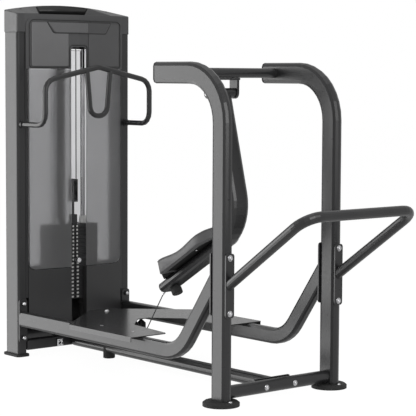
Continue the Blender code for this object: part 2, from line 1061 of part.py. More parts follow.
def plates(name, count, bottom):
    """A run of plates with chamfered edges, bored for the guide rods, the stem and the pin."""
    rings = []
    for number in range(count):
        low = bottom + number * plate_pitch
        high = low + plate_pitch - (seat_gap if number == count - 1 else 0.0)
        small = rectangle(
            plate_depth - 2 * plate_chamfer, plate_width - 2 * plate_chamfer, plate_corner, 1
        )
        full = rectangle(plate_depth, plate_width, plate_corner, 1)
        if number == 0:
            rings.append([(p.x + plate_station, p.y, low) for p in small])
        rings.append([(p.x + plate_station, p.y, low + plate_chamfer) for p in full])
        rings.append([(p.x + plate_station, p.y, high - plate_chamfer) for p in full])
        rings.append([(p.x + plate_station, p.y, high) for p in small])
    obj = loft(name, rings, parts)
    top = bottom + count * plate_pitch
    for side in (-1, 1):
        y = side * guide_spread
        bore = rod(
            f"{name}_bore_{side}",
            (plate_station, y, bottom - 0.01),
            (plate_station, y, top + 0.01),
            bore_radius(guide_radius + guide_clearance, 12),
            helpers,
            12,
        )
        cut(obj, bore)
    stem = rod(
        f"{name}_stem_bore",
        (lift_line, 0.0, bottom - 0.01),
        (lift_line, 0.0, top + 0.01),
        bore_radius(stem_radius + stem_clearance, 12),
        helpers,
        12,
    )
    cut(obj, stem)
    front = plate_station + plate_depth / 2
    for number in range(count):
        z = bottom + (number + 0.5) * plate_pitch
        hole = rod(
            f"{name}_pin_hole_{number}",
            (lift_line, 0.0, z),
            (front + 0.01, 0.0, z),
            bore_radius(pin_radius + pin_clearance, 8),
            helpers,
            8,
        )
        cut(obj, hole)
    return obj


def lift_block_bottom():
    """The lifting block stands on its link over the stack's head."""
    return stack_bottom + plate_count * plate_pitch + head_height + lift_link_length


def lift_pulley_height():
    return lift_block_bottom() + lift_pulley_rise


def lift_block():
    """The side plates that carry the lifting pulley, with a foot that takes the link."""
    low_end = lift_block_bottom()
    axis = lift_pulley_height()
    inner = pulley_width / 2 + fork_side_gap
    outer = inner + fork_plate
    half = lift_block_width / 2
    foot = block(
        "lift_pulley_block",
        (lift_line - half, -outer, low_end),
        (lift_line + half, outer, low_end + lift_block_foot),
        parts,
    )
    extra = []
    for side in (-1, 1):
        low = min(side * inner, side * outer)
        high = max(side * inner, side * outer)
        extra.append(
            block(
                f"lift_block_side_{side}",
                (lift_line - half, low, low_end),
                (lift_line + half, high, axis + lift_block_crest),
                helpers,
            )
        )
    pin = rod(
        "lift_block_pin",
        (lift_line, -outer - lift_pin_end, axis),
        (lift_line, outer + lift_pin_end, axis),
        axle_radius,
        helpers,
        16,
    )
    join(foot, *extra, pin)
    finish(foot, plate_iron, stack_empty)


def cable_arc(centre, radius, start, end, steps=10):
    """Points on an arc in the plane of X and Z, between two angles in degrees."""
    points = []
    for step in range(steps + 1):
        turn = math.radians(start + (end - start) * step / steps)
        points.append((centre[0] + radius * math.cos(turn), 0.0, centre[1] + radius * math.sin(turn)))
    return points


def cable_leaves():
    """The angle on the platform pulley at which the cable leaves it for the arm."""
    dx = anchor_tip().x - platform_pulley_station
    dz = anchor_tip().z - base_pulley_height
    return math.atan2(dz, dx) - math.acos(base_pulley_pitch / math.hypot(dx, dz))


def cables():
    top = (top_pulley_station(), top_pulley_height())
    lift = [(anchor_line(), 0.0, top_beam_bottom + anchor_tab_rise - seat_gap)]
    lift += cable_arc((lift_line, lift_pulley_height()), lift_pulley_pitch, 0, -180, 9)
    lift += cable_arc(top, top_pulley_pitch(), 0, 180, 9)
    meet = top[1] - cable_joint
    lift.append((return_line, 0.0, meet))
    finish(round_tube("cable_lift_run", lift, cable_radius, parts, 2), cable_black)

    base = (base_pulley_station(), base_pulley_height)
    platform = (platform_pulley_station, base_pulley_height)
    floor_line = base_pulley_height - base_pulley_pitch
    back = [(return_line, 0.0, meet - seat_gap)]
    back += cable_arc(base, base_pulley_pitch, 180, 270, 6)
    back.append((platform_pulley_station - cable_joint, 0.0, floor_line))
    finish(round_tube("cable_return_run", back, cable_radius, parts, 2), cable_black)

    run = [(platform_pulley_station - cable_joint + seat_gap, 0.0, floor_line)]
    run += cable_arc(platform, base_pulley_pitch, -90, math.degrees(cable_leaves()), 6)
    run.append(anchor_tip())
    finish(round_tube("cable_arm_run", run, cable_radius, parts, 2), cable_black)


def hand_rail():
    """The bent hand rail on the tower and the loop that hangs from its middle."""
    spread = (tower_width - upright_width) / 2
    start = upright_depth / 2 + seat_gap
    knee = hand_rail_peak - hand_rail_slope * spread
    corners = [
        ((start + weld_depth, -spread, hand_rail_low), 0.0),
        ((hand_rail_reach, -spread, hand_rail_low), hand_rail_low_bend),
        ((hand_rail_reach, -spread, knee), hand_rail_top_bend),
        ((hand_rail_reach, 0.0, hand_rail_peak), hand_rail_top_bend),
        ((hand_rail_reach, spread, knee), hand_rail_top_bend),
        ((hand_rail_reach, spread, hand_rail_low), hand_rail_low_bend),
        ((start + weld_depth, spread, hand_rail_low), 0.0),
    ]
    rail = as_mesh(round_tube("tower_hand_rail", rounded_path(corners, 4), hand_rail_radius, parts))
    top = hand_rail_peak - hand_rail_slope * loop_top_half
    drop = loop_bottom + hand_rail_radius
    loop = [
        ((hand_rail_reach, -loop_top_half, top), 0.0),
        ((hand_rail_reach, -loop_bottom_half, drop), loop_bottom_half * 0.98),
        ((hand_rail_reach, loop_bottom_half, drop), loop_bottom_half * 0.98),
        ((hand_rail_reach, loop_top_half, top), 0.0),
    ]
    hoop = as_mesh(
        round_tube("hand_rail_loop", rounded_path(loop, 5), hand_rail_radius * 0.99, helpers), helpers
    )
    join(rail, hoop)
    for side in (-1, 1):
        flange = rod(
            f"hand_rail_flange_{side}",
            (start, side * spread, hand_rail_low),
            (start + hand_rail_flange_thickness, side * spread, hand_rail_low),
            hand_rail_flange,
            helpers,
            20,
        )
        join(rail, flange)
    finish(rail, black_frame)


def side_rails():
    """The rails from the tower to the rear columns, each with a plate on both ends."""
    column_front = column_station - column_depth / 2
    run = column_front + trim_run - rail_bend_station
    for side, word in ((-1, "left"), (1, "right")):
        y = side * rail_spread
        start = upright_depth / 2 + seat_gap
        corners = [
            (start + end_plate / 2, rail_middle, 0.0),
            (rail_bend_station, rail_middle, rail_bend_radius),
            (rail_bend_station + run, rail_middle + run * math.tan(rail_angle), 0.0),
        ]
        tube = section_tube(
            f"side_rail_{word}", corners, rail_width, rail_height, rail_corner, y, parts, 6
        )
        tube = as_mesh(tube)
        plate = end_plate_at(
            f"rail_front_plate_{word}", start, end_plate, y, front_plate_low, front_plate_high
        )
        stop = column_front - seat_gap
        back = end_plate_at(
            f"rail_rear_plate_{word}", stop - end_plate, end_plate, y, rear_plate_low, rear_plate_high
        )
        beyond = block(
            f"rail_trim_{word}", (stop, y - 0.1, 0.0), (stop + 0.2, y + 0.1, 1.2), helpers
        )
        join(tube, plate, back)
        cut(tube, beyond)
        finish(tube, black_frame)


def end_plate_at(name, start, thickness, y, low, high):
    """A rounded plate that stands across X, from start."""
    outline = rectangle(column_width, high - low, end_plate_corner, 3)
    place = facing((1.0, 0.0, 0.0), (start + thickness / 2, y, (low + high) / 2))
    return as_mesh(flat_plate(name, outline, thickness, place, helpers), helpers)


def platform():
    """The step plate: a sheet with a slot for the arm's cable and a lip down each long side."""
    low = rail_middle + rail_height / 2 + seat_gap
    half = [
        (platform_nose_station, platform_nose_half, platform_corner),
        (platform_wide_station, platform_half, platform_corner),
        (platform_rear_station, platform_half, platform_rear_corner),
        (platform_rear_station, slot_mouth_half, slot_mouth_corner),
        (slot_throat_station, slot_throat_half, slot_throat_corner),
        (slot_end_station, slot_end_half, slot_end_corner),
    ]
    mirrored = [(x, -y, radius) for x, y, radius in reversed(half)]
    sheet_metal = flat_plate(
        "platform",
        rounded_outline(half + mirrored, 4),
        platform_sheet,
        Matrix.Translation((0.0, 0.0, low + platform_sheet / 2)),
        parts,
    )
    sheet_metal = as_mesh(sheet_metal)
    for side in (-1, 1):
        edge = side * platform_half
        inner = side * (platform_half - sheet)
        lip = block(
            f"platform_lip_{side}",
            (platform_wide_station + platform_lip_inset, min(edge, inner), low - platform_lip),
            (platform_rear_station - platform_lip_inset, max(edge, inner), low + platform_sheet / 2),
            helpers,
        )
        join(sheet_metal, lip)
    finish(sheet_metal, step_steel)


def spine():
    """The floor tube under the platform, its stub foot and flange, and the rear cross tube."""
    start = base_beam_station + base_beam_depth / 2 + base_tab_thickness + seat_gap
    cross_front = column_station - spine_radius
    flange_front = cross_front - seat_gap
    tube = rod(
        "spine_tube",
        (start, 0.0, spine_height),
        (flange_front - end_plate / 2, 0.0, spine_height),
        spine_radius,
        parts,
        24,
    )
    flange = as_mesh(
        flat_plate(
            "spine_flange",
            rectangle(spine_flange_width, spine_flange_height, spine_flange_corner, 3),
            end_plate,
            facing((1.0, 0.0, 0.0), (flange_front - end_plate / 2, 0.0, spine_height)),
            helpers,
        ),
        helpers,
    )
    foot = turned(
        "spine_stub",
        [
            (0.0, stub_top),
            (stub_radius, stub_top),
            (stub_radius, stub_flare_top),
            (stub_flare, stub_flare_edge),
            (stub_flare, 0.0),
            (0.0, 0.0),
        ],
        Matrix.Translation((stub_station, 0.0, 0.0)),
        helpers,
        20,
    )
    seat = spine_height + spine_radius - platform_fork_sink
    base = (
        platform_pulley_station - platform_fork_half,
        platform_pulley_station + platform_fork_half,
    )
    carrier = fork("platform_fork", (platform_pulley_station, base_pulley_height), base, seat, 1)
    join(tube, flange, foot, *carrier)
    finish(tube, black_frame)

    reach = column_spread - column_width / 2 - seat_gap
    cross = rod(
        "rear_cross_tube",
        (column_station, -reach, spine_height),
        (column_station, reach, spine_height),
        spine_radius,
        parts,
        28,
    )
    finish(cross, black_frame)


def rear_columns():
    for side, word in ((-1, "left"), (1, "right")):
        y = side * column_spread
        corners = [
            (column_station, disc_height + seat_gap, 0.0),
            (column_station, arm_height, arm_bend_radius),
            (arm_front_station + end_plug, arm_height, 0.0),
        ]
        column = section_tube(
            f"rear_upright_{word}", corners, column_width, column_depth, column_corner, y, parts, 9
        )
        finish(as_mesh(column), black_frame)
        plug = as_mesh(
            flat_plate(
                f"arm_end_plug_{word}",
                rectangle(column_width, column_depth, column_corner, 2),
                end_plug - seat_gap,
                facing(
                    (1.0, 0.0, 0.0), (arm_front_station + (end_plug - seat_gap) / 2, y, arm_height)
                ),
                parts,
            )
        )
        bevel(plug, end_plug_edge, 2)
        finish(plug, black_rubber)
        profile = [
            (0.0, disc_height),
            (disc_radius - disc_slope, disc_height),
            (disc_radius, disc_height - disc_edge),
            (disc_radius, 0.0),
            (0.0, 0.0),
        ]
        disc = turned(
            f"rear_foot_{word}", profile, Matrix.Translation((column_station, y, 0.0)), parts, 36
        )
        finish(disc, black_rubber)


def guard_rail():
    """One bent tube behind the columns, on a plate at each end."""
    start = column_station + column_depth / 2 + seat_gap
    inside = start - trim_run
    fall = (guard_high - guard_low) / (guard_station - start) * (start - inside)
    corners = [
        ((inside, -column_spread, guard_low - fall), 0.0),
        ((guard_station, -column_spread, guard_high), guard_bend_radius),
        ((guard_station, column_spread, guard_high), guard_bend_radius),
        ((inside, column_spread, guard_low - fall), 0.0),
    ]
    rail = as_mesh(round_tube("guard_rail", rounded_path(corners, 7), guard_radius, parts, 6))
    for side in (-1, 1):
        y = side * column_spread
        plate = end_plate_at(
            f"guard_plate_{side}", start, end_plate, y, rear_plate_low, rear_plate_high
        )
        trim = block(
            f"guard_trim_{side}", (start - 0.2, y - 0.1, 0.0), (start, y + 0.1, 1.2), helpers
        )
        join(rail, plate)
        cut(rail, trim)
    finish(rail, black_frame)


def pivot():
    """The crossbar between the arms, the bracket under it and the pin of the kick arm."""
    reach = column_spread - column_width / 2 - seat_gap
    bar = rod(
        "crossbar",
        (crossbar_station, -reach, arm_height),
        (crossbar_station, reach, arm_height),
        crossbar_radius,
        parts,
        28,
    )
    finish(bar, black_frame)
    outer = ear_inner + ear_plate
    bracket_top = arm_height - crossbar_radius - seat_gap
    ear_top = bracket_top - bracket_thickness
    bracket = block(
        "pivot_bracket",
        (pivot_station - ear_depth / 2, -outer, ear_top),
        (crossbar_station + bracket_reach, outer, bracket_top),
        parts,
    )
    for side in (-1, 1):
        low = pivot_height - ear_depth / 2
        outline = rounded_outline(
            [
                (pivot_station + ear_depth / 2, ear_top + ear_weld, 0.0),
                (pivot_station - ear_depth / 2, ear_top + ear_weld, 0.0),
                (pivot_station - ear_depth / 2, low, ear_depth * 0.48),
                (pivot_station + ear_depth / 2, low, ear_depth * 0.48),
            ],
            8,
        )
        ear = as_mesh(
            flat_plate(
                f"pivot_ear_{side}",
                outline,
                ear_plate,
                Matrix.Translation((0.0, side * (ear_inner + ear_plate / 2), 0.0)) @ upright_plane,
                helpers,
            ),
            helpers,
        )
        join(bracket, ear)
    bore = rod(
        "pivot_bore",
        (pivot_station, -outer - 0.01, pivot_height),
        (pivot_station, outer + 0.01, pivot_height),
        pivot_pin_radius + seat_gap,
        helpers,
        24,
    )
    cut(bracket, bore)
    finish(bracket, black_frame)
    cap = outer + seat_gap
    head = cap + pin_head_height
    wide = pivot_pin_radius + pin_head_flange
    profile = [
        (0.0, head),
        (wide - pin_head_slope, head),
        (wide, head - pin_head_slope),
        (wide, cap),
        (pivot_pin_radius, cap),
        (pivot_pin_radius, -cap),
        (wide, -cap),
        (wide, pin_head_slope - head),
        (wide - pin_head_slope, -head),
        (0.0, -head),
    ]
    centre = Vector((pivot_station, 0.0, pivot_height))
    place = Matrix.Translation(centre) @ Matrix.Rotation(math.pi / 2, 4, "X")
    finish(turned("pivot_pin", profile, place, parts, 24), bright_steel)


# The kick arm's lower run: along it, and square to it on the pad's side.
kick_along = Vector((math.cos(kick_rise), 0.0, math.sin(kick_rise)))
kick_normal = Vector((-math.sin(kick_rise), 0.0, math.cos(kick_rise)))
kick_knee = Vector((kick_corner_station, 0.0, kick_corner_height))
kick_end = kick_knee - kick_along * kick_lower_length


def on_kick(along, lift, y=0.0):
    """A point beside the lower run, measured from its free end."""
    return kick_end + kick_along * along + kick_normal * lift + Vector((0.0, y, 0.0))


def anchor_tip():
    """Where the cable's end meets the anchor's socket."""
    return on_kick(-anchor_tip_reach, -anchor_tip_drop)


def kick_arm():
    """The bent flat tube that hangs from its sleeve, with its pad, bumper and cable anchor."""
    top = Vector((pivot_station - kick_top_offset, 0.0, pivot_height - sleeve_drop))
    start = kick_end + kick_along * kick_end_plug
    corners = [
        (start.x, start.z, 0.0),
        (kick_knee.x, kick_knee.z, kick_bend_radius),
        (top.x, top.z, 0.0),
    ]
    tube = as_mesh(
        section_tube("kick_arm", corners, kick_width, kick_depth, kick_corner, 0.0, parts, 9)
    )
    half = ear_inner - running_gap
    sleeve = rod(
        "kick_sleeve",
        (pivot_station, -half, pivot_height),
        (pivot_station, half, pivot_height),
        sleeve_radius,
        helpers,
        28,
    )
    bore = rod(
        "kick_bore",
        (pivot_station, -half - 0.01, pivot_height),
        (pivot_station, half + 0.01, pivot_height),
        bore_radius(pivot_pin_radius + running_gap),
        helpers,
        24,
    )
    join(tube, sleeve)
    cut(tube, bore)
    finish(tube, black_frame, arm_empty)

    plug = as_mesh(
        flat_plate(
            "kick_end_plug",
            rectangle(kick_width, kick_depth, kick_corner, 2),
            kick_end_plug - seat_gap,
            facing(kick_along, on_kick((kick_end_plug - seat_gap) / 2, 0.0), kick_normal),
            parts,
        )
    )
    bevel(plug, kick_plug_edge, 2)
    finish(plug, black_rubber, arm_empty)

    under = -kick_depth / 2 - seat_gap
    profile = [
        (0.0, 0.0),
        (bumper_radius - bumper_round, 0.0),
        (bumper_radius - bumper_round, -bumper_collar),
        (bumper_radius, -bumper_collar - bumper_round),
        (bumper_radius, bumper_round - bumper_length),
        (bumper_radius - bumper_round, -bumper_length),
        (0.0, -bumper_length),
    ]
    turn = Matrix.Rotation(-kick_rise, 4, "Y")
    place = Matrix.Translation(on_kick(bumper_place, under)) @ turn
    finish(turned("arm_bumper", profile, place, parts, 24), black_rubber, arm_empty)

    mouth = anchor_tip()
    leave = cable_leaves()
    centre = Vector((platform_pulley_station, 0.0, base_pulley_height))
    spoke = Vector((math.cos(leave), 0.0, math.sin(leave)))
    aim = (centre + spoke * base_pulley_pitch - mouth).normalized()
    neck = mouth - aim * anchor_socket_length
    lift = (neck - kick_end).dot(kick_normal)
    seat = on_kick(-seat_gap, lift)
    eye = rod("cable_anchor", seat, seat - kick_along * anchor_nut, anchor_radius, parts, 6)
    stud = rod("anchor_stud", seat - kick_along * anchor_nut / 2, neck, anchor_neck * 0.8, helpers, 16)
    reach = kick_along * anchor_knuckle_half
    knuckle = rod("anchor_knuckle", neck - reach, neck + reach, anchor_neck, helpers, 18)
    socket = rod("anchor_socket", neck, mouth - aim * seat_gap, anchor_neck * 0.9, helpers, 16)
    join(eye, stud, knuckle, socket)
    finish(eye, bright_steel, arm_empty)


def pad_and_board():
    """The board screwed on the arm and the cushion on it, with its crown and drawn-in edge."""
    low = kick_depth / 2 + seat_gap
    half = board_width / 2
    outline = rounded_outline(
        [
            (0.0, half, board_front_round),
            (0.0, -half, board_front_round),
            (board_length, -half, board_end_round),
            (board_length, half, board_end_round),
        ],
        5,
    )
    frame = Matrix((kick_along, Vector((0.0, 1.0, 0.0)), -kick_normal)).transposed().to_4x4()
    place = Matrix.Translation(on_kick(board_start, low + board_thickness / 2)) @ frame
    board = as_mesh(flat_plate("pad_board", outline, board_thickness, place, parts))
    finish(board, board_black, arm_empty)

    base = low + board_thickness + seat_gap
    cushion = loft("pad", [pad_ring(base, share, inset) for inset, share in pad_levels], parts)
    bm = bmesh.new()
    bm.from_mesh(cushion.data)
    wide = [face for face in bm.faces if len(face.verts) > 4]
    crown = max(wide, key=lambda face: face.calc_center_median().dot(kick_normal))
    bmesh.ops.inset_region(bm, faces=[crown], thickness=pad_crown_inset)
    for vert in crown.verts:
        vert.co += kick_normal * pad_crown_rise
    bm.to_mesh(cushion.data)
    bm.free()
    soft = cushion.modifiers.new("Soft", "SUBSURF")
    soft.levels = 1
    soft.render_levels = 1
    finish(cushion, pad_vinyl, arm_empty)


def within(share):
    return min(1.0, max(0.0, share))


def pad_ring(base, share, inset):
    """One level of the pad at a share of its height: square at the front, rounded at the far end."""
    half = pad_width / 2 - inset
    back = pad_length - inset
    outline = rounded_outline(
        [
            (inset, half, pad_front_round),
            (inset, -half, pad_front_round),
            (back, -half, pad_end_round - inset),
            (back, half, pad_end_round - inset),
        ],
        5,
    )
    ring = []
    for flat in outline:
        nose = within(1.0 - flat.x / (pad_length * pad_nose_share))
        tail = within(1.0 - (pad_length - flat.x) / (pad_length * pad_tail_share))
        height = pad_height + (pad_nose_height - pad_height) * nose * nose * (3 - 2 * nose)
        height -= pad_tail_drop * tail * tail
        lean = pad_front_lean * share * height * within(1.0 - flat.x / pad_lean_reach)
        ring.append(on_kick(pad_start + flat.x + lean, base + share * height, flat.y))
    return ring


def finish(obj, mat, parent=None):
    """Gives a piece its material and shading, and hangs it on the machine or on its joint."""
    obj.data.materials.clear()
    obj.data.materials.append(mat)
    if obj.type == "MESH":
        obj.data.shade_smooth()
        obj.data.set_sharp_from_angle(angle=math.radians(35))
    carrier = parent or machine
    obj.parent = carrier
    bpy.context.view_layer.update()
    start = Matrix.Translation((tower_station(), 0.0, 0.0))
    obj.matrix_parent_inverse = carrier.matrix_world.inverted() @ start
    return obj


def tower_station():
    """Centres the machine's length on the origin."""
    back = -upright_depth / 2 - rear_cover_depth
    front = guard_station + guard_radius
    return -(back + front) / 2


def new_empty(name, place):
    empty = bpy.data.objects.new(name, None)
    parts.objects.link(empty)
    empty.location = place
    return empty


fresh_scene()
parts = new_collection("standing_glute_kickback_machine")
helpers = new_collection("cutters_and_guides")
helpers.hide_render = True

black_frame = new_material("black_frame", (0.035, 0.035, 0.037), 0.42, 0.25)
black_rubber = new_material("black_rubber", (0.02, 0.02, 0.02), 0.7)
grey_plastic = new_material("grey_plastic", (0.06, 0.06, 0.062), 0.5)
frosted_window = new_material("frosted_window", (0.45, 0.46, 0.47), 0.35, 0.0, 0.55)
shroud_steel = new_material("shroud_steel", (0.04, 0.04, 0.042), 0.5, 0.2)
plate_iron = new_material("plate_iron", (0.03, 0.03, 0.03), 0.5, 0.5)
chrome = new_material("chrome", (0.8, 0.8, 0.8), 0.12, 1.0)
bright_steel = new_material("bright_steel", (0.65, 0.65, 0.66), 0.25, 1.0)
pulley_plastic = new_material("pulley_plastic", (0.025, 0.025, 0.026), 0.4)
cable_black = new_material("cable_black", (0.02, 0.02, 0.02), 0.45)
step_steel = new_material("step_steel", (0.05, 0.05, 0.052), 0.5, 0.3)
board_black = new_material("board_black", (0.012, 0.012, 0.012), 0.7)
pad_vinyl = new_material("pad_vinyl", (0.11, 0.11, 0.112), 0.5)

machine = new_empty("machine", (tower_station(), 0.0, 0.0))
arm_empty = new_empty("arm_pivot", (tower_station() + pivot_station, 0.0, pivot_height))
stack_empty = new_empty("stack_slide", (tower_station() + lift_line, 0.0, stack_bottom))
bpy.context.view_layer.update()

tower_frame()
top_cap()
shroud()
rear_cover()
stack_parts()
pulley("top_pulley", (top_pulley_station(), top_pulley_height()), top_pulley_pitch(), machine)
pulley("base_pulley", (base_pulley_station(), base_pulley_height), base_pulley_pitch, machine)
pulley("platform_pulley", (platform_pulley_station, base_pulley_height), base_pulley_pitch, machine)
pulley("lift_pulley", (lift_line, lift_pulley_height()), lift_pulley_pitch, stack_empty)
hand_rail()
side_rails()
platform()
spine()
rear_columns()
guard_rail()
pivot()
kick_arm()
pad_and_board()
cables()

for guide in helpers.objects:
    guide.parent = machine
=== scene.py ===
import json
import math

import bmesh
import bpy
import numpy as np
from mathutils import Matrix, Vector


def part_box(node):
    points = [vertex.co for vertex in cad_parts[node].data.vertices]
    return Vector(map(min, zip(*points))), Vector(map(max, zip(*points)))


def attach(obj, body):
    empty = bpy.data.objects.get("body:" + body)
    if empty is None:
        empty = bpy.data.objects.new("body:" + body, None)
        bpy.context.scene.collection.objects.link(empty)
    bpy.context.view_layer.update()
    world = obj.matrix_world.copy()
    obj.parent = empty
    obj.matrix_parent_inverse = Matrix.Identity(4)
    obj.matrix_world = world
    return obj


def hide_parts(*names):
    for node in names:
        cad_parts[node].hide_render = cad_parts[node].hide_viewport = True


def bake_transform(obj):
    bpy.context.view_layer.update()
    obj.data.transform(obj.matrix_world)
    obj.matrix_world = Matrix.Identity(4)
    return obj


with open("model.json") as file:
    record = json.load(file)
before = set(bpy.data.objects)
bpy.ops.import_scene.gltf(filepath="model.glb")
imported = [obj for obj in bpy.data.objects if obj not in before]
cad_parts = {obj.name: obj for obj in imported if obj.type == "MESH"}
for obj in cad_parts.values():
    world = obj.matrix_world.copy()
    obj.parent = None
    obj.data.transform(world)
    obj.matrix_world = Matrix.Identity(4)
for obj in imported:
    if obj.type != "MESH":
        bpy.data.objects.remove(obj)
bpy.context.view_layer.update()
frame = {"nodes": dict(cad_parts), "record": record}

print("frame loaded:", len(frame["nodes"]), "nodes")


# Where the main members stand, read from the frame
towerLow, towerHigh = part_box("tower_upright_left")
towerX = (towerLow.x + towerHigh.x) / 2          # the tower's centre line


def fromTower(x, y, z):
    # a station measured from the tower's centre line becomes a point of the frame
    return np.array([towerX + x, y, z])


# Camera at the photograph's angle
view = dict(
    place=(6.3407 + towerX, -4.465, 1.3319),
    yaw=0.8699, pitch=0.0828, roll=0.0046,       # radians
    focal=1599.09, frameWidth=416,               # both in pixels
    sensor=36, clipEnd=60,                       # millimetres, metres
)


def addCamera():
    # columns of the turn: right rolled about the sight line, up likewise, and the sight line reversed
    yaw, pitch, roll = view["yaw"], view["pitch"], view["roll"]
    sight = Vector((-math.sin(yaw) * math.cos(pitch), math.cos(yaw) * math.cos(pitch), -math.sin(pitch)))
    right = Vector((math.cos(yaw), math.sin(yaw), 0.0))
    up = right.cross(sight)
    turn = Matrix((
        right * math.cos(roll) + up * math.sin(roll),
        up * math.cos(roll) - right * math.sin(roll),
        -sight,
    )).transposed().to_4x4()
    turn.translation = Vector(view["place"])
    lens = bpy.data.cameras.new("camera")
    lens.sensor_width = view["sensor"]
    lens.lens = view["focal"] / view["frameWidth"] * view["sensor"]
    lens.clip_end = view["clipEnd"]
    camera = bpy.data.objects.new("camera", lens)
    bpy.context.scene.collection.objects.link(camera)
    camera.matrix_world = turn
    bpy.context.scene.camera = camera


addCamera()
print("camera placed")


# Mesh helpers
def gridFaces(rows, cols, wrapRows=False, wrapCols=False):
    # every cell of the grid is a quad; a wrapped way runs on from its last line to its first
    i = np.arange(rows if wrapRows else rows - 1)[:, None]
    j = np.arange(cols if wrapCols else cols - 1)[None, :]
    nextI, nextJ = (i + 1) % rows, (j + 1) % cols
    quads = [i * cols + j, i * cols + nextJ, nextI * cols + nextJ, nextI * cols + j]
    return np.stack(np.broadcast_arrays(*quads), -1).reshape(-1, 4)


def meshFrom(name, points, faces):
    # doubles at poles and seams are merged, then every face is turned to point outwards
    mesh = bpy.data.meshes.new(name)
    mesh.from_pydata(np.asarray(points, float).reshape(-1, 3).tolist(), [], [list(f) for f in faces])
    bm = bmesh.new()
    bm.from_mesh(mesh)
    bmesh.ops.remove_doubles(bm, verts=bm.verts, dist=1e-6)
    bmesh.ops.dissolve_degenerate(bm, edges=bm.edges, dist=1e-7)
    bmesh.ops.recalc_face_normals(bm, faces=bm.faces)
    bm.to_mesh(mesh)
    bm.free()
    piece = bpy.data.objects.new(name, mesh)
    bpy.context.scene.collection.objects.link(piece)
    return piece


def dress(piece, finish, body=None, sharp=35):
    # gives a piece its finish and smooth shading, and sets it on its body
    piece.data.materials.clear()
    piece.data.materials.append(finish)
    piece.data.shade_smooth()
    piece.data.set_sharp_from_angle(angle=math.radians(sharp))
    if body:
        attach(piece, body)
    return piece


def crossFrame(normal):
    # two unit vectors square to the normal and to each other
    n = np.asarray(normal, float) / np.linalg.norm(normal)
    lean = np.array([0.0, 0.0, 1.0]) if abs(n[2]) < 0.9 else np.array([1.0, 0.0, 0.0])
    first = np.cross(lean, n)
    first /= np.linalg.norm(first)
    return first, np.cross(n, first), n


def turnedSet(name, profile, places, normal, sides=24):
    # ring (r, h, hex): place + r(a) cos a * first + r(a) sin a * second + h * normal, where a ring with hex
    # set has six flats, r(a) = r cos 30 / cos((a mod 60) - 30), and every place gets a copy
    rows = np.array(profile, float)
    angle = np.linspace(0, 2 * np.pi, sides, endpoint=False)
    flats = np.cos(np.pi / 6) / np.cos((angle % (np.pi / 3)) - np.pi / 6)
    radius = rows[:, :1] * np.where(rows[:, 2:3] > 0, flats[None, :], 1.0)
    first, second, out = crossFrame(normal)
    ring = (
        radius[..., None] * np.cos(angle)[None, :, None] * first
        + radius[..., None] * np.sin(angle)[None, :, None] * second
        + rows[:, 1][:, None, None] * out
    )
    points = np.asarray(places, float)[:, None, None, :] + ring[None]
    one = gridFaces(len(rows), sides, wrapCols=True)
    step = np.arange(len(places))[:, None, None] * len(rows) * sides
    return meshFrom(name, points, (one[None] + step).reshape(-1, 4))


def tubeAlong(name, path, across, radius, sides=12, closed=False):
    # a ring square to the path at each point: point + r cos a * side + r sin a * across,
    # where side = across x tangent
    path = np.asarray(path, float)
    ahead = np.roll(path, -1, 0) - np.roll(path, 1, 0)
    if not closed:
        ahead[0], ahead[-1] = path[1] - path[0], path[-1] - path[-2]
    ahead /= np.linalg.norm(ahead, axis=1)[:, None]
    across = np.broadcast_to(np.asarray(across, float), path.shape)
    side = np.cross(across, ahead)
    side /= np.linalg.norm(side, axis=1)[:, None]
    angle = np.linspace(0, 2 * np.pi, sides, endpoint=False)[None, :, None]
    points = path[:, None] + radius * (np.cos(angle) * side[:, None] + np.sin(angle) * across[:, None])
    faces = gridFaces(len(path), sides, wrapRows=closed, wrapCols=True).tolist()
    if not closed:
        faces += [list(range(sides)), list(range((len(path) - 1) * sides, len(path) * sides))]
    return meshFrom(name, points, faces)


def roundedLoop(corners, count):
    # straight runs joined by arcs of each corner's radius, then count points at even steps along the loop
    spots = np.array([c[:2] for c in corners], float)
    before, after = np.roll(spots, 1, 0) - spots, np.roll(spots, -1, 0) - spots
    before /= np.linalg.norm(before, axis=1)[:, None]
    after /= np.linalg.norm(after, axis=1)[:, None]
    radius = np.array([c[2] for c in corners], float)[:, None]
    half = np.arccos(np.clip((before * after).sum(1), -1, 1))[:, None] / 2
    middle = before + after
    middle /= np.linalg.norm(middle, axis=1)[:, None]
    centre = spots + middle * radius / np.sin(half)
    spoke = spots + before * radius / np.tan(half) - centre
    turn = (np.pi - 2 * half)[..., None] * np.linspace(0, 1, 13)[None, :, None]
    inward = before[:, None] * radius[..., None]
    arcs = centre[:, None] + spoke[:, None] * np.cos(turn) - inward * np.sin(turn)
    line = arcs.reshape(-1, 2)
    line = np.vstack([line, line[:1]])
    run = np.r_[0, np.cumsum(np.linalg.norm(np.diff(line, axis=0), axis=1))]
    at = np.linspace(0, run[-1], count, endpoint=False)
    return np.c_[np.interp(at, run, line[:, 0]), np.interp(at, run, line[:, 1])]


def rectangleLoop(left, right, low, high, corner, count):
    # a rectangle's outline with the same radius at its four corners
    corners = [(left, low, corner), (right, low, corner), (right, high, corner), (left, high, corner)]
    return roundedLoop(corners, count)


# Finishes: every one has its own colour drift, grain and changing roughness, in metres of the object itself
def startFinish(name, metallic=0.0, specular=0.5):
    # a new material with its tree and its shader
    mat = bpy.data.materials.new(name)
    mat.use_nodes = True
    shader = mat.node_tree.nodes["Principled BSDF"]
    shader.inputs["Metallic"].default_value = metallic
    shader.inputs["Specular IOR Level"].default_value = specular
    return mat, mat.node_tree, shader


def addNode(tree, kind, **settings):
    # a new node with its settings
    node = tree.nodes.new(kind)
    for key, value in settings.items():
        setattr(node, key, value)
    return node


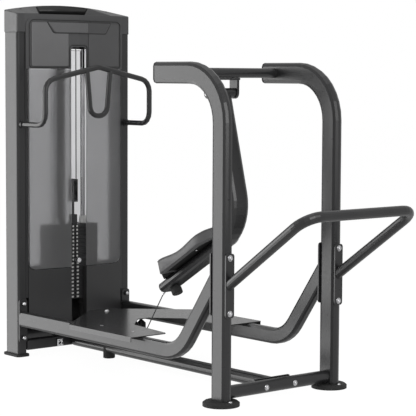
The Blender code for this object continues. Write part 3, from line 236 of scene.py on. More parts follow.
def noiseOf(tree, coords, scale, detail=3.0, rough=0.5, stretch=(1, 1, 1)):
    # fractal noise whose cells are 1 / scale metres, stretched along the axes
    move = addNode(tree, "ShaderNodeMapping")
    move.inputs["Scale"].default_value = stretch
    noise = addNode(tree, "ShaderNodeTexNoise")
    noise.inputs["Scale"].default_value = scale
    noise.inputs["Detail"].default_value = detail
    noise.inputs["Roughness"].default_value = rough
    tree.links.new(coords, move.inputs["Vector"])
    tree.links.new(move.outputs["Vector"], noise.inputs["Vector"])
    return noise.outputs["Fac"]


def spread(tree, source, low, high, fromLow=0.3, fromHigh=0.7):
    # maps noise between fromLow and fromHigh onto low to high
    node = addNode(tree, "ShaderNodeMapRange")
    for key, value in (("From Min", fromLow), ("From Max", fromHigh), ("To Min", low), ("To Max", high)):
        node.inputs[key].default_value = value
    tree.links.new(source, node.inputs["Value"])
    return node.outputs["Result"]


def tint(tree, factor, dark, light):
    # dark + factor * (light - dark)
    node = addNode(tree, "ShaderNodeMix", data_type="RGBA")
    node.inputs["A"].default_value = (*dark, 1)
    node.inputs["B"].default_value = (*light, 1)
    tree.links.new(factor, node.inputs["Factor"])
    return node.outputs["Result"]


def tintTo(tree, factor, dark, lightSource):
    # from a fixed dark colour to the colour that another node gives
    node = addNode(tree, "ShaderNodeMix", data_type="RGBA")
    node.inputs["A"].default_value = (*dark, 1)
    tree.links.new(lightSource, node.inputs["B"])
    tree.links.new(factor, node.inputs["Factor"])
    return node.outputs["Result"]


def reliefOf(tree, shader, sources):
    # a chain of bumps: (height, strength, depth in metres), the finest last
    under = None
    for height, strength, depth in sources:
        bump = addNode(tree, "ShaderNodeBump")
        bump.inputs["Strength"].default_value = strength
        bump.inputs["Distance"].default_value = depth
        tree.links.new(height, bump.inputs["Height"])
        if under:
            tree.links.new(under, bump.inputs["Normal"])
        under = bump.outputs["Normal"]
    tree.links.new(under, shader.inputs["Normal"])


def shades(colour, swing):
    # colour * (1 - swing) and colour * (1 + swing)
    return tuple(c * (1 - swing) for c in colour), tuple(c * (1 + swing) for c in colour)


quickLook = dict(scale=9, bump=0.12, depth=1.5)    # the faster noise, as shares of drift, bump and depth


def surfaceFinish(name, colour, swing=0.10, roughness=(0.38, 0.48), drift=7.0, grain=900.0, bump=0.25,
                  depth=0.00012, metallic=0.0, specular=0.5, stretch=(1, 1, 1)):
    # colour drifts with slow noise, roughness with faster noise, and the surface has a fine raised grain
    mat, tree, shader = startFinish(name, metallic, specular)
    coords = addNode(tree, "ShaderNodeTexCoord").outputs["Object"]
    slow = noiseOf(tree, coords, drift, 4.0)
    quick = noiseOf(tree, coords, drift * quickLook["scale"], 5.0, 0.6, stretch)
    fine = noiseOf(tree, coords, grain, 2.0, 0.5, stretch)
    tree.links.new(tint(tree, spread(tree, slow, 0, 1), *shades(colour, swing)), shader.inputs["Base Color"])
    tree.links.new(spread(tree, quick, *roughness), shader.inputs["Roughness"])
    soft = (quick, bump * quickLook["bump"], depth * quickLook["depth"])
    reliefOf(tree, shader, [soft, (fine, bump, depth)])
    return mat


frostLook = dict(drift=5.0, grain=1500.0, swing=0.03, edge=0.002, black=(0.016, 0.016, 0.016), ior=1.18,
                 bump=0.03, depth=0.00002)


def frostedFinish(name, colour, weight, roughness, darkBelow=None, darkHalf=0.0):
    # most light goes through, scattered by a rough skin that drifts a little over the sheet; below the height
    # darkBelow, and within darkHalf of the middle, the sheet is painted black and lets nothing through
    mat, tree, shader = startFinish(name)
    coords = addNode(tree, "ShaderNodeTexCoord").outputs["Object"]
    slow = noiseOf(tree, coords, frostLook["drift"], 3.0)
    fine = noiseOf(tree, coords, frostLook["grain"], 2.0)
    sheetColour = tint(tree, spread(tree, slow, 0, 1), *shades(colour, frostLook["swing"]))
    if darkBelow is None:
        shader.inputs["Transmission Weight"].default_value = weight
    else:
        split = addNode(tree, "ShaderNodeSeparateXYZ")
        tree.links.new(coords, split.inputs[0])
        aside = addNode(tree, "ShaderNodeMath", operation="ABSOLUTE")
        tree.links.new(split.outputs["Y"], aside.inputs[0])
        both = addNode(tree, "ShaderNodeMath", operation="MULTIPLY")
        edge = frostLook["edge"]
        above = spread(tree, split.outputs["Z"], 0, 1, darkBelow - edge, darkBelow + edge)
        beside = spread(tree, aside.outputs[0], 0, 1, darkHalf - edge, darkHalf + edge)
        tree.links.new(above, both.inputs[0])
        tree.links.new(beside, both.inputs[1])
        clear = both.outputs[0]
        sheetColour = tintTo(tree, clear, frostLook["black"], sheetColour)
        tree.links.new(spread(tree, clear, 0, weight, 0, 1), shader.inputs["Transmission Weight"])
    tree.links.new(sheetColour, shader.inputs["Base Color"])
    tree.links.new(spread(tree, slow, *roughness), shader.inputs["Roughness"])
    shader.inputs["IOR"].default_value = frostLook["ior"]
    reliefOf(tree, shader, [(fine, frostLook["bump"], frostLook["depth"])])
    return mat


finishes = {
    "black_frame": surfaceFinish("satin black powder coat", (0.022, 0.022, 0.023), 0.12, (0.27, 0.33),
                                 grain=1100, bump=0.16, depth=0.00008, specular=0.50),
    "black_rubber": surfaceFinish("moulded black rubber", (0.022, 0.022, 0.022), 0.16, (0.62, 0.80),
                                  grain=700, bump=0.30, depth=0.00015, specular=0.4),
    "grey_plastic": surfaceFinish("grained grey plastic", (0.068, 0.068, 0.070), 0.08, (0.38, 0.48),
                                  grain=1500, bump=0.30, depth=0.00008, specular=0.5),
    "shroud_steel": surfaceFinish("satin shroud steel", (0.030, 0.030, 0.031), 0.08, (0.36, 0.46),
                                  grain=1200, bump=0.18, depth=0.00008),
    "plate_iron": surfaceFinish("painted plate iron", (0.016, 0.016, 0.017), 0.20, (0.42, 0.60), drift=14,
                                grain=500, bump=0.35, depth=0.00020),
    "chrome": surfaceFinish("polished chrome", (0.48, 0.48, 0.49), 0.03, (0.06, 0.12), grain=300, bump=0.02,
                            depth=0.00002, metallic=1.0, stretch=(1, 1, 0.05)),
    "bright_steel": surfaceFinish("bright zinc steel", (0.62, 0.62, 0.63), 0.06, (0.20, 0.32), grain=900,
                                  bump=0.06, depth=0.00004, metallic=1.0),
    "pulley_plastic": surfaceFinish("moulded pulley nylon", (0.030, 0.030, 0.031), 0.10, (0.38, 0.50)),
    "cable_black": surfaceFinish("smooth cable jacket", (0.020, 0.020, 0.020), 0.10, (0.30, 0.42), grain=1600,
                                 bump=0.05, depth=0.00003),
    "step_steel": surfaceFinish("textured step coat", (0.024, 0.024, 0.025), 0.14, (0.19, 0.27), grain=700,
                                bump=0.22, depth=0.00012, specular=0.55),
    "board_black": surfaceFinish("painted plywood", (0.010, 0.010, 0.010), 0.20, (0.60, 0.75), grain=220,
                                 bump=0.30, depth=0.00015, specular=0.3, stretch=(0.15, 1, 1)),
    "pad_vinyl": surfaceFinish("grained upholstery vinyl", (0.110, 0.110, 0.112), 0.06, (0.42, 0.54)),
}
finishes["frosted_window"] = frostedFinish("frosted window sheet", (0.46, 0.46, 0.465), 0.84, (0.30, 0.38))
rearSheet = frostedFinish("clear frosted rear sheet", (0.60, 0.60, 0.61), 0.92, (0.35, 0.45),
                          darkBelow=0.409, darkHalf=0.040)

for row in frame["record"]["subparts"]:
    node = frame["nodes"][row["node"]]
    node.data.materials.clear()
    node.data.materials.append(finishes[row["material_slot"]])
frame["nodes"]["rear_cover"].data.materials[0] = rearSheet
print("finishes on every node")


# Bolts: button heads on washers, bright against the black
boltLook = dict(
    washerRadius=0.0125, washerThick=0.0018, headRadius=0.0098, headHeight=0.0062, socketRadius=0.0042,
    socketDepth=0.0035,
)
sunk = 0.0004         # how far a head or washer goes into what it sits on
rimEdge = 0.0003      # height of the bevel at a washer's rim
rimWidth = 0.0004     # width of that bevel


def buttonHead(scale=1.0, washer=True):
    # from the washer's rim up over the dome and down into a six-sided socket
    b = {key: value * scale for key, value in boltLook.items()}
    base = b["washerThick"] if washer else 0.0
    rows = [(0, -sunk, 0)]
    if washer:
        rows += [(b["washerRadius"], -sunk, 0), (b["washerRadius"], base - rimEdge, 0),
                 (b["washerRadius"] - rimWidth, base, 0)]
    share = np.linspace(0, 1, 7)
    dome = b["headRadius"] * (1 - 0.52 * share ** 2.2)
    rise = base + b["headHeight"] * np.sin(share * np.pi / 2)
    rows += [(b["headRadius"], base - (0 if washer else sunk), 0)]
    rows += [(r, h, 0) for r, h in zip(dome, rise)]
    top = base + b["headHeight"]
    rows += [(b["socketRadius"], top, 1), (b["socketRadius"], top - b["socketDepth"], 1),
             (0, top - b["socketDepth"] * 1.15, 0)]
    return rows


nutLook = dict(radius=0.0092, collar=0.0100, height=0.0190, washer=0.0120, washerThick=0.0016)


def nutCollar():
    # a washer with a six-sided collar on it
    n = nutLook
    return [(0, -sunk, 0), (n["washer"], -sunk, 0), (n["washer"], n["washerThick"] - rimEdge, 0),
            (n["washer"] - rimWidth, n["washerThick"], 0), (n["radius"] * 1.1, n["washerThick"], 1),
            (n["radius"] * 1.1, n["collar"], 1), (0, n["collar"], 0)]


def nutDome():
    # r = radius cos(s), h = collar + (height - collar) sin(s)
    n = nutLook
    s = np.linspace(0, np.pi / 2, 9)
    rise = n["collar"] + (n["height"] - n["collar"]) * np.sin(s)
    return [(0, n["collar"] - 0.0005, 0), (n["radius"], n["collar"] - 0.0005, 0),
            *[(r, h, 0) for r, h in zip(n["radius"] * np.cos(s), rise)]]


flushLook = dict(edge=0.0004, proud=0.0009, socket=-0.0002, middle=-0.0003)    # heights over the face


def flushHead(radius=0.0075):
    # a countersunk head that stands a little proud, with its socket
    f = flushLook
    return [(0, -sunk, 0), (radius, -sunk, 0), (radius, f["edge"], 0), (radius * 0.9, f["proud"], 0),
            (radius * 0.45, f["proud"], 1), (radius * 0.45, f["socket"], 1), (0, f["middle"], 0)]


def bolts(name, profile, places, normal, body="frame", finish="bright_steel", sides=30):
    # one piece that holds the same turned head at every place
    piece = turnedSet(name, profile, places, normal, sides)
    return dress(piece, finishes[finish], body)


railY = [(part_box(n)[0].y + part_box(n)[1].y) / 2 for n in ("side_rail_left", "side_rail_right")]
columnY = [(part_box(n)[0].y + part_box(n)[1].y) / 2 for n in ("rear_upright_left", "rear_upright_right")]
boltPlaces = dict(
    plate=0.006,                                                          # thickness of an end plate
    tower=(0.254, 0.092), guard=(0.604, 0.380), rear=(0.605, 0.381),      # heights
    flange=0.050, flangeHalf=0.080,
    cap=(-0.030, 0.250, 1.6408), disc=0.0575, middle=0.310,
    platform=((0.645, 0.275), (0.865, 0.272)),                            # station and half spread
)
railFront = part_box("side_rail_left")[0].x + boltPlaces["plate"]
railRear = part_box("side_rail_left")[1].x - boltPlaces["plate"]
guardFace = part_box("guard_rail")[0].x + boltPlaces["plate"]
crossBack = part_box("rear_cross_tube")[1].x
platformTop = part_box("platform")[1].z
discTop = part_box("rear_foot_left")[1].z
columnX = (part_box("rear_foot_left")[0].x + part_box("rear_foot_left")[1].x) / 2

nutPlaces = [(railFront, y, z) for y in railY for z in boltPlaces["tower"]]
bolts("tower_plate_collars", nutCollar(), nutPlaces, (1, 0, 0), finish="black_frame")
bolts("tower_plate_domes", nutDome(), nutPlaces, (1, 0, 0))
capX, capHalf, capZ = boltPlaces["cap"]
capScrews = [fromTower(capX, side * capHalf, capZ) for side in (-1, 1)]
bolts("cap_screws", flushHead(0.0048), capScrews, (0.15, 0, 1), finish="black_rubber")
guardPlaces = [(guardFace, y, z) for y in columnY for z in boltPlaces["guard"]]
bolts("guard_plate_bolts", buttonHead(), guardPlaces, (1, 0, 0))
rearPlaces = [(railRear, y, z) for y in railY for z in boltPlaces["rear"]]
bolts("rail_rear_bolts", buttonHead(), rearPlaces, (-1, 0, 0))
flangeY = (-boltPlaces["flangeHalf"], boltPlaces["flangeHalf"])
crossPlaces = [(crossBack - sunk, y, boltPlaces["flange"]) for y in flangeY]
bolts("cross_tube_bolts", buttonHead(0.95), crossPlaces, (1, 0, 0))
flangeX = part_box("spine_tube")[1].x - boltPlaces["plate"]
flangePlaces = [(flangeX, y, boltPlaces["flange"]) for y in flangeY]
bolts("spine_flange_bolts", buttonHead(0.95), flangePlaces, (-1, 0, 0))
discPlaces = [(columnX + boltPlaces["disc"], y, discTop) for y in columnY]
bolts("foot_disc_bolts", buttonHead(0.72), discPlaces, (0, 0, 1))
bolts("platform_bolt", buttonHead(0.95), [fromTower(boltPlaces["middle"], 0.0, platformTop)], (0, 0, 1))
platformPlaces = [fromTower(x, side * y, platformTop) for side in (-1, 1) for x, y in boltPlaces["platform"]]
bolts("platform_screws", flushHead(), platformPlaces, (0, 0, 1))
print("bolts and screws")


# Small plates, each an outline in two axes with a thickness along the third, and a sleeve on the stub foot
plateLook = dict(
    tab=dict(centre=(-0.090, 0.0465), size=(0.036, 0.033), corner=0.003, hole=0.0052, thick=0.0012),
    guard=dict(outline=[(0.518, 0.112, 0.012), (0.552, 0.112, 0.012), (0.584, 0.172, 0.006),
                        (0.583, 0.197, 0.003), (0.549, 0.2115, 0.003), (0.511, 0.182, 0.004)],
               inner=0.0205, thick=0.0025),
    apron=dict(low=0.046, high=0.121, half=0.255, corner=0.004, thick=0.0012, back=0.0010),
    scoop=dict(x=-0.0453, foot=1.6185, footHalf=0.129, side=1.6535, sideHalf=0.150, crest=1.6590,
               thick=0.0008),
    sleeve=dict(station=0.330, radius=0.0280, low=0.001, high=0.080, edge=0.0015, wall=0.0022),
)


def flatSheet(name, loop, holes, place, thick, finish, body="frame"):
    # loop and holes are closed outlines in two axes, and place(first, second) sets them in the frame; point k
    # of a ring is joined to point k + 1, the face between the rings is filled, and Solidify thickens it
    mesh = bpy.data.meshes.new(name)
    rings = [np.asarray(ring) for ring in (loop, *holes)]
    points = np.vstack([place(r[:, 0], r[:, 1]) for r in rings])
    starts = np.cumsum([0, *(len(r) for r in rings[:-1])])
    steps = [np.arange(len(r)) for r in rings]
    edges = np.vstack([start + np.c_[k, (k + 1) % len(k)] for start, k in zip(starts, steps)])
    mesh.from_pydata(points.tolist(), edges.tolist(), [])
    bm = bmesh.new()
    bm.from_mesh(mesh)
    bmesh.ops.triangle_fill(bm, use_beauty=True, use_dissolve=False, edges=bm.edges[:])
    bmesh.ops.recalc_face_normals(bm, faces=bm.faces)
    bm.to_mesh(mesh)
    bm.free()
    piece = bpy.data.objects.new(name, mesh)
    bpy.context.scene.collection.objects.link(piece)
    wall = piece.modifiers.new("thickness", "SOLIDIFY")
    wall.thickness = thick
    wall.offset = 0
    return dress(piece, finish, body)


def circleLoop(centre, radius, count=24):
    # centre + radius (cos a, sin a)
    a = np.linspace(0, 2 * np.pi, count, endpoint=False)
    return np.c_[centre[0] + radius * np.cos(a), centre[1] + radius * np.sin(a)]


def acrossX(x):
    # a plane square to X at x
    return lambda first, second: np.c_[np.full_like(first, x), first, second]


def acrossY(y):
    # a plane square to Y at y
    return lambda first, second: np.c_[towerX + first, np.full_like(first, y), second]


tab = plateLook["tab"]
tabY, tabZ = tab["centre"]
halfWide, halfHigh = tab["size"][0] / 2, tab["size"][1] / 2
tabLoop = rectangleLoop(tabY - halfWide, tabY + halfWide, tabZ - halfHigh, tabZ + halfHigh, tab["corner"], 48)
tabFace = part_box("tower_base_beam")[1].x + 0.0008
flatSheet("base_tab_plate", tabLoop, [circleLoop(tab["centre"], tab["hole"])], acrossX(tabFace), tab["thick"],
          finishes["bright_steel"])

guard = plateLook["guard"]
guardLoop = roundedLoop(guard["outline"], 80)
for side, word in ((-1, "left"), (1, "right")):
    flatSheet(f"pulley_guard_{word}", guardLoop, [], acrossY(side * guard["inner"]), guard["thick"],
              finishes["black_frame"])

apron = plateLook["apron"]
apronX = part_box("rear_cover")[0].x + apron["back"]
apronLoop = rectangleLoop(-apron["half"], apron["half"], apron["low"], apron["high"], apron["corner"], 80)
flatSheet("rear_apron", apronLoop, [], acrossX(apronX), apron["thick"], finishes["shroud_steel"])

scoop = plateLook["scoop"]
scoopY = np.linspace(scoop["sideHalf"], -scoop["sideHalf"], 25)
scoopTop = scoop["crest"] - (scoop["crest"] - scoop["side"]) * (scoopY / scoop["sideHalf"]) ** 2
scoopLoop = np.vstack([[(-scoop["footHalf"], scoop["foot"]), (scoop["footHalf"], scoop["foot"])],
                       np.c_[scoopY, scoopTop]])
# the scoop's back plate is near black, darker than the frame: partly its own dark finish, partly painted
# shade of the recess
scoopShadeBlack = surfaceFinish("dark plate with painted recess shade", (0.008, 0.008, 0.008), 0.30, (0.30, 0.42), drift=30, grain=900)
flatSheet("scoop_plate", scoopLoop, [], acrossX(towerX + scoop["x"]), scoop["thick"], scoopShadeBlack)

sleeve = plateLook["sleeve"]
outer, rim, inner = sleeve["radius"], sleeve["radius"] - sleeve["edge"], sleeve["radius"] - sleeve["wall"]
low, high = sleeve["low"], sleeve["high"]
sleeveRows = [(rim, low, 0), (outer, low + sleeve["edge"], 0), (outer, high - sleeve["edge"], 0),
              (rim, high, 0), (inner, high, 0), (inner, low, 0), (rim, low, 0)]
sleevePiece = turnedSet("stub_sleeve", sleeveRows, [fromTower(sleeve["station"], 0.0, 0.0)], (0, 0, 1), 40)
dress(sleevePiece, finishes["black_rubber"], "frame")
print("small plates")


# Placard: a bead round the field, bare label fields and a bare title strip
placardLook = dict(
    nose=0.0958, slope=0.1316, bead=0.0022, beadLeft=-0.262, beadRight=0.268, beadLow=1.3665, beadHigh=1.5880,
    beadCorner=0.026, slotHalf=0.052, slotTop=1.4715,
    leftField=(-0.252, -0.0585, 1.3725, 1.5765), rightField=(0.0610, 0.2575, 1.3725, 1.5765),
    title=(-0.1700, 0.2030, 1.5300, 1.5785), titleSlant=0.036, titleSplit=0.053,
)


def onProw(y, z, rise):
    # the shroud's front: nose - slope |y|, raised by rise; y and z are arrays
    x = placardLook["nose"] - placardLook["slope"] * np.sqrt(y * y + 1e-6) + rise
    return np.stack([towerX + x, y, z], -1)


def prowSheet(name, left, right, low, high, corner, rise, thick, slant=0.0, finish=None):
    # rows from low to high; near each end the row draws in by corner - sqrt(corner^2 - (corner - d)^2)
    ends = corner * (1 - np.cos(np.linspace(0, np.pi / 2, 7)))
    z = np.r_[low + ends, np.linspace(low + corner, high - corner, 5)[1:-1], (high - ends)[::-1]]
    d = np.minimum(z - low, high - z).clip(0, corner)
    inset = corner - np.sqrt(np.maximum(corner ** 2 - (corner - d) ** 2, 0))
    leanLeft, leanRight = np.broadcast_to(slant, 2)[:, None] * (high - z) / (high - low)
    share = np.linspace(0, 1, 41)[None, :]
    a, b = (left + inset + leanLeft)[:, None], (right - inset - leanRight)[:, None]
    y = a + (b - a) * share
    points = onProw(y, np.broadcast_to(z[:, None], y.shape), rise)
    piece = meshFrom(name, points, gridFaces(*y.shape))
    solid = piece.modifiers.new("thickness", "SOLIDIFY")
    solid.thickness = thick
    solid.offset = 0
    return dress(piece, finish, "frame")


leftGrey = surfaceFinish("left label field", (0.165, 0.165, 0.168), 0.05, (0.34, 0.42), grain=1800,
                         bump=0.10, depth=0.00004)
rightGrey = surfaceFinish("right label field", (0.085, 0.085, 0.087), 0.05, (0.34, 0.42), grain=1800,
                          bump=0.10, depth=0.00004)
titleLight = surfaceFinish("title strip, light side", (0.130, 0.130, 0.133), 0.04, (0.30, 0.38), grain=1800,
                           bump=0.08, depth=0.00004)
titleDark = surfaceFinish("title strip, dark side", (0.070, 0.070, 0.072), 0.04, (0.30, 0.38), grain=1800,
                          bump=0.08, depth=0.00004)
rimBlack = surfaceFinish("dark rim", (0.016, 0.016, 0.016), 0.10, (0.40, 0.50))
p = placardLook
beadLoop = roundedLoop([
    (p["beadLeft"], p["beadLow"], 0.010), (-p["slotHalf"], p["beadLow"], 0.004),
    (-p["slotHalf"], p["slotTop"], 0.020), (p["slotHalf"], p["slotTop"], 0.020),
    (p["slotHalf"], p["beadLow"], 0.004), (p["beadRight"], p["beadLow"], 0.010),
    (p["beadRight"], p["beadHigh"], p["beadCorner"]), (p["beadLeft"], p["beadHigh"], p["beadCorner"]),
], 260)
beadPath = onProw(beadLoop[:, 0], beadLoop[:, 1], 0.0)
bead = tubeAlong("placard_bead", beadPath, (1.0, 0, 0), p["bead"], 8, True)
dress(bead, rimBlack, "frame")
prowSheet("left_label_field", *p["leftField"], 0.008, 0.0006, 0.0008, finish=leftGrey)
prowSheet("right_label_field", *p["rightField"], 0.008, 0.0006, 0.0008, finish=rightGrey)
t = p["title"]
prowSheet("title_rim", t[0] - 0.005, t[1] + 0.005, t[2] - 0.005, t[3] + 0.0035, 0.010, 0.0011, 0.0008,
          p["titleSlant"], rimBlack)
prowSheet("title_strip", *t, 0.008, 0.0017, 0.0008, p["titleSlant"], titleDark)
prowSheet("title_strip_light", t[0] + 0.004, p["titleSplit"], t[2] + 0.002, t[3] - 0.002, 0.006, 0.0023,
          0.0006, (p["titleSlant"], 0.0), titleLight)
print("placard")


# Stack details: bare labels beside the pin holes, and the guide collars on the top plate
stackLook = dict(restSide=0.0150, restWidth=0.0125, liftSide=0.0115, liftWidth=0.0088, labelHeight=0.0086,
                 pitch=0.018)
labelWhite = surfaceFinish("bare label vinyl", (0.62, 0.62, 0.61), 0.05, (0.40, 0.50), grain=1500, bump=0.08,
                           depth=0.00004)
# the guide collars' near white is a painted highlight, standing in for the glints they catch
collarGlintWhite = surfaceFinish("collar painted white for its glints", (0.70, 0.70, 0.69), 0.04, (0.38, 0.48), grain=1200,
                            bump=0.10, depth=0.00005)


def plateLabels(name, heights, front, body, away, width):
    # small rounded plaques, each a loop of points extruded by half a millimetre, partly inside the plate
    loop = rectangleLoop(-0.5, 0.5, -0.5, 0.5, 0.12, 24)
    y = loop[:, 0] * width
    z = loop[:, 1] * stackLook["labelHeight"]
    ring = np.stack([np.stack([np.full_like(y, front + d), y, z], -1) for d in (-0.0002, 0.0003)])
    places = np.array([(0, side * away, h) for h in heights for side in (-1, 1)])
    points = places[:, None, None, :] + ring[None]
    count = len(y)
    one = gridFaces(2, count, wrapCols=True).tolist()
    one += [list(range(count)), list(range(count, 2 * count))]
    faces = [[v + k * 2 * count for v in face] for k in range(len(places)) for face in one]
    return dress(meshFrom(name, points, faces), labelWhite, body)


stackLow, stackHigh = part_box("resting_plates")
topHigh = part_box("top_plate")[1]
pitch = stackLook["pitch"]
restHeights = np.arange(stackLow.z + pitch / 2, stackHigh.z, pitch)
liftHeights = np.arange(stackHigh.z + pitch / 2 + 0.0003, topHigh.z, pitch)
plateLabels("resting_plate_labels", restHeights, stackHigh.x, "frame", stackLook["restSide"],
            stackLook["restWidth"])
plateLabels("lifted_plate_labels", liftHeights, topHigh.x, "stack", stackLook["liftSide"],
            stackLook["liftWidth"])
rodLow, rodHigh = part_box("guide_rod_left")
rodRadius = (rodHigh.x - rodLow.x) / 2
rodX = (rodHigh.x + rodLow.x) / 2
rodY = abs(rodHigh.y + rodLow.y) / 2
collarLook = dict(gap=0.0012, low=0.0003, flange=0.0205, flangeTop=0.006, neck=0.0185, neckFoot=0.007,
                  tip=0.0170, tipFoot=0.034, rim=0.0160, high=0.036)
k = collarLook
bore = rodRadius + k["gap"]
collarRing = [(bore, k["low"], 0), (k["flange"], k["low"], 0), (k["flange"], k["flangeTop"], 0),
              (k["neck"], k["neckFoot"], 0), (k["tip"], k["tipFoot"], 0), (k["rim"], k["high"], 0),
              (bore, k["high"], 0), (bore, k["low"], 0)]
collarPlaces = [(rodX, side * rodY, topHigh.z) for side in (-1, 1)]
collars = turnedSet("guide_collars", collarRing, collarPlaces, (0, 0, 1), 32)
dress(collars, collarGlintWhite, "stack")
print("stack details")


# Cables: straight runs have rings only at their ends, so each run stays straight between them
cableLook = dict(radius=0.0025, liftLine=0.040, liftPitch=0.0245, returnLine=-0.062, liftPulleyZ=0.790,
                 anchorZ=1.4587, topPulleyZ=1.405, topPitch=0.03875,
                 platformX=0.535, platformZ=0.130, platformPitch=0.045, joint=0.060)


def arcRun(centre, radius, start, end, steps):
    # centre + radius (cos a, 0, sin a), a from start to end in degrees
    a = np.radians(np.linspace(start, end, steps))
    return np.c_[centre[0] + radius * np.cos(a), np.zeros(steps), centre[1] + radius * np.sin(a)]


c = cableLook
shift = np.array([towerX, 0, 0])
liftPath = np.vstack([
    [(c["liftLine"] + c["liftPitch"], 0, c["anchorZ"])],
    arcRun((c["liftLine"], c["liftPulleyZ"]), c["liftPitch"], 0, -180, 17),
    arcRun((c["returnLine"] + c["topPitch"], c["topPulleyZ"]), c["topPitch"], 0, 180, 21),
    [(c["returnLine"], 0, c["topPulleyZ"] - c["joint"])],
]) + shift
liftCable = tubeAlong("lift_cable", liftPath, (0, 1, 0), c["radius"], 12)
dress(liftCable, finishes["cable_black"], None)
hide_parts("cable_lift_run")
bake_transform(liftCable)

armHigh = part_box("cable_arm_run")[1]
tip = np.array([armHigh.x - 0.002, 0, armHigh.z - 0.0014])
reach = tip - fromTower(c["platformX"], 0, c["platformZ"])
rising = math.atan2(reach[2], reach[0])
leave = math.degrees(rising - math.acos(c["platformPitch"] / math.hypot(reach[0], reach[2])))
armPath = np.vstack([
    [fromTower(c["platformX"] - c["joint"] + 0.0003, 0, c["platformZ"] - c["platformPitch"])],
    arcRun((towerX + c["platformX"], c["platformZ"]), c["platformPitch"], -90, leave, 10),
    [tip],
])
armCable = tubeAlong("arm_cable", armPath, (0, 1, 0), c["radius"], 12)
dress(armCable, finishes["cable_black"], None)
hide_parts("cable_arm_run")
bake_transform(armCable)
print("cables")


# Pad: a stuffed vinyl wedge whose cover wraps the board's edge, square at the front and round at the far end
padLook = dict(
    rise=math.radians(30.9), knee=(1.2817, 0.688), lower=0.601,   # the arm's lower run
    start=0.119, length=0.380, width=0.240, base=0.0200, boardTop=0.0321,
    front=0.0570, dip=0.0325, far=0.0445, dipAt=0.190, farAt=0.360,
    frontRound=0.010, endRound=0.112, lean=0.25, leanReach=0.10, sag=0.0060, sagFrom=0.055, sagTo=0.110,
    pressure=4.0, quality=6, mass=0.3, frames=20, cap=0.0025, voxel=0.004, seamShare=0.93,
    seamRadius=0.0011,
)
along = np.array([math.cos(padLook["rise"]), 0, math.sin(padLook["rise"])])
lifted = np.array([-math.sin(padLook["rise"]), 0, math.cos(padLook["rise"])])
kickEnd = fromTower(padLook["knee"][0], 0, padLook["knee"][1]) - along * padLook["lower"]


def onKick(run, height, y):
    # a point beside the lower run: run along it from its free end, height square to it; arrays welcome
    run, height, y = np.broadcast_arrays(run, height, y)
    across = y[..., None] * np.array([0, 1.0, 0])
    return kickEnd + run[..., None] * along + height[..., None] * lifted + across


def ease(share):
    # share^2 (3 - 2 share), held between 0 and 1
    share = np.clip(share, 0, 1)
    return share * share * (3 - 2 * share)


def padHeight(run):
    # dip + (front - dip) ease(1 - run / dipAt) + (far - dip) ease((run - dipAt) / (farAt - dipAt))
    p = padLook
    return (p["dip"] + (p["front"] - p["dip"]) * ease(1 - run / p["dipAt"])
            + (p["far"] - p["dip"]) * ease((run - p["dipAt"]) / (p["farAt"] - p["dipAt"])))


def padRing(inset, share, count=160):
    # the plan drawn in by inset, at base + share * padHeight(run); the front leans back with its height, and
    # the lower edge sags beside the arm by sag * ease((|y| - sagFrom) / (sagTo - sagFrom)) * (1 - share)
    p = padLook
    w, far = p["width"] / 2 - inset, p["length"] - inset
    frontRound = max(p["frontRound"] - inset * 0.3, 0.004)
    endRound = max(p["endRound"] - inset, w * 0.9)
    plan = roundedLoop([(inset, w, frontRound), (inset, -w, frontRound), (far, -w, endRound),
                        (far, w, endRound)], count)
    height = share * padHeight(plan[:, 0])
    leaning = p["lean"] * height * np.clip(1 - plan[:, 0] / p["leanReach"], 0, 1)
    beside = ease((abs(plan[:, 1]) - p["sagFrom"]) / (p["sagTo"] - p["sagFrom"]))
    low = p["sag"] * beside * np.clip(1 - share, 0, 1)
    return onKick(p["start"] + plan[:, 0] + leaning, p["base"] + height - low, plan[:, 1])


def padShell():
    # rings of (inset, share) from the rim under the board, up the sides and in over the crowned top; the
    # first ring is lifted to the board's upper face, which leaves the recess that the board fills
    levels = [(0.020, 0.0), (0.020, 0.0), (0.0025, 0.0), (0.0005, 0.02), (0.0, 0.06), (0.0, 0.45),
              (0.0, 0.86), (0.0010, 0.94), (0.0040, 0.99), (0.010, 1.02), (0.030, 1.06), (0.060, 1.09),
              (0.090, 1.10)]
    rings = np.array([padRing(inset, share) for inset, share in levels])
    rings[0] += lifted * (padLook["boardTop"] - padLook["base"])
    count = rings.shape[1]
    faces = gridFaces(len(levels), count, wrapCols=True).tolist()
    faces += [list(range(count)), list(range((len(levels) - 1) * count, len(levels) * count))]
    return meshFrom("foot_pad", rings, faces)


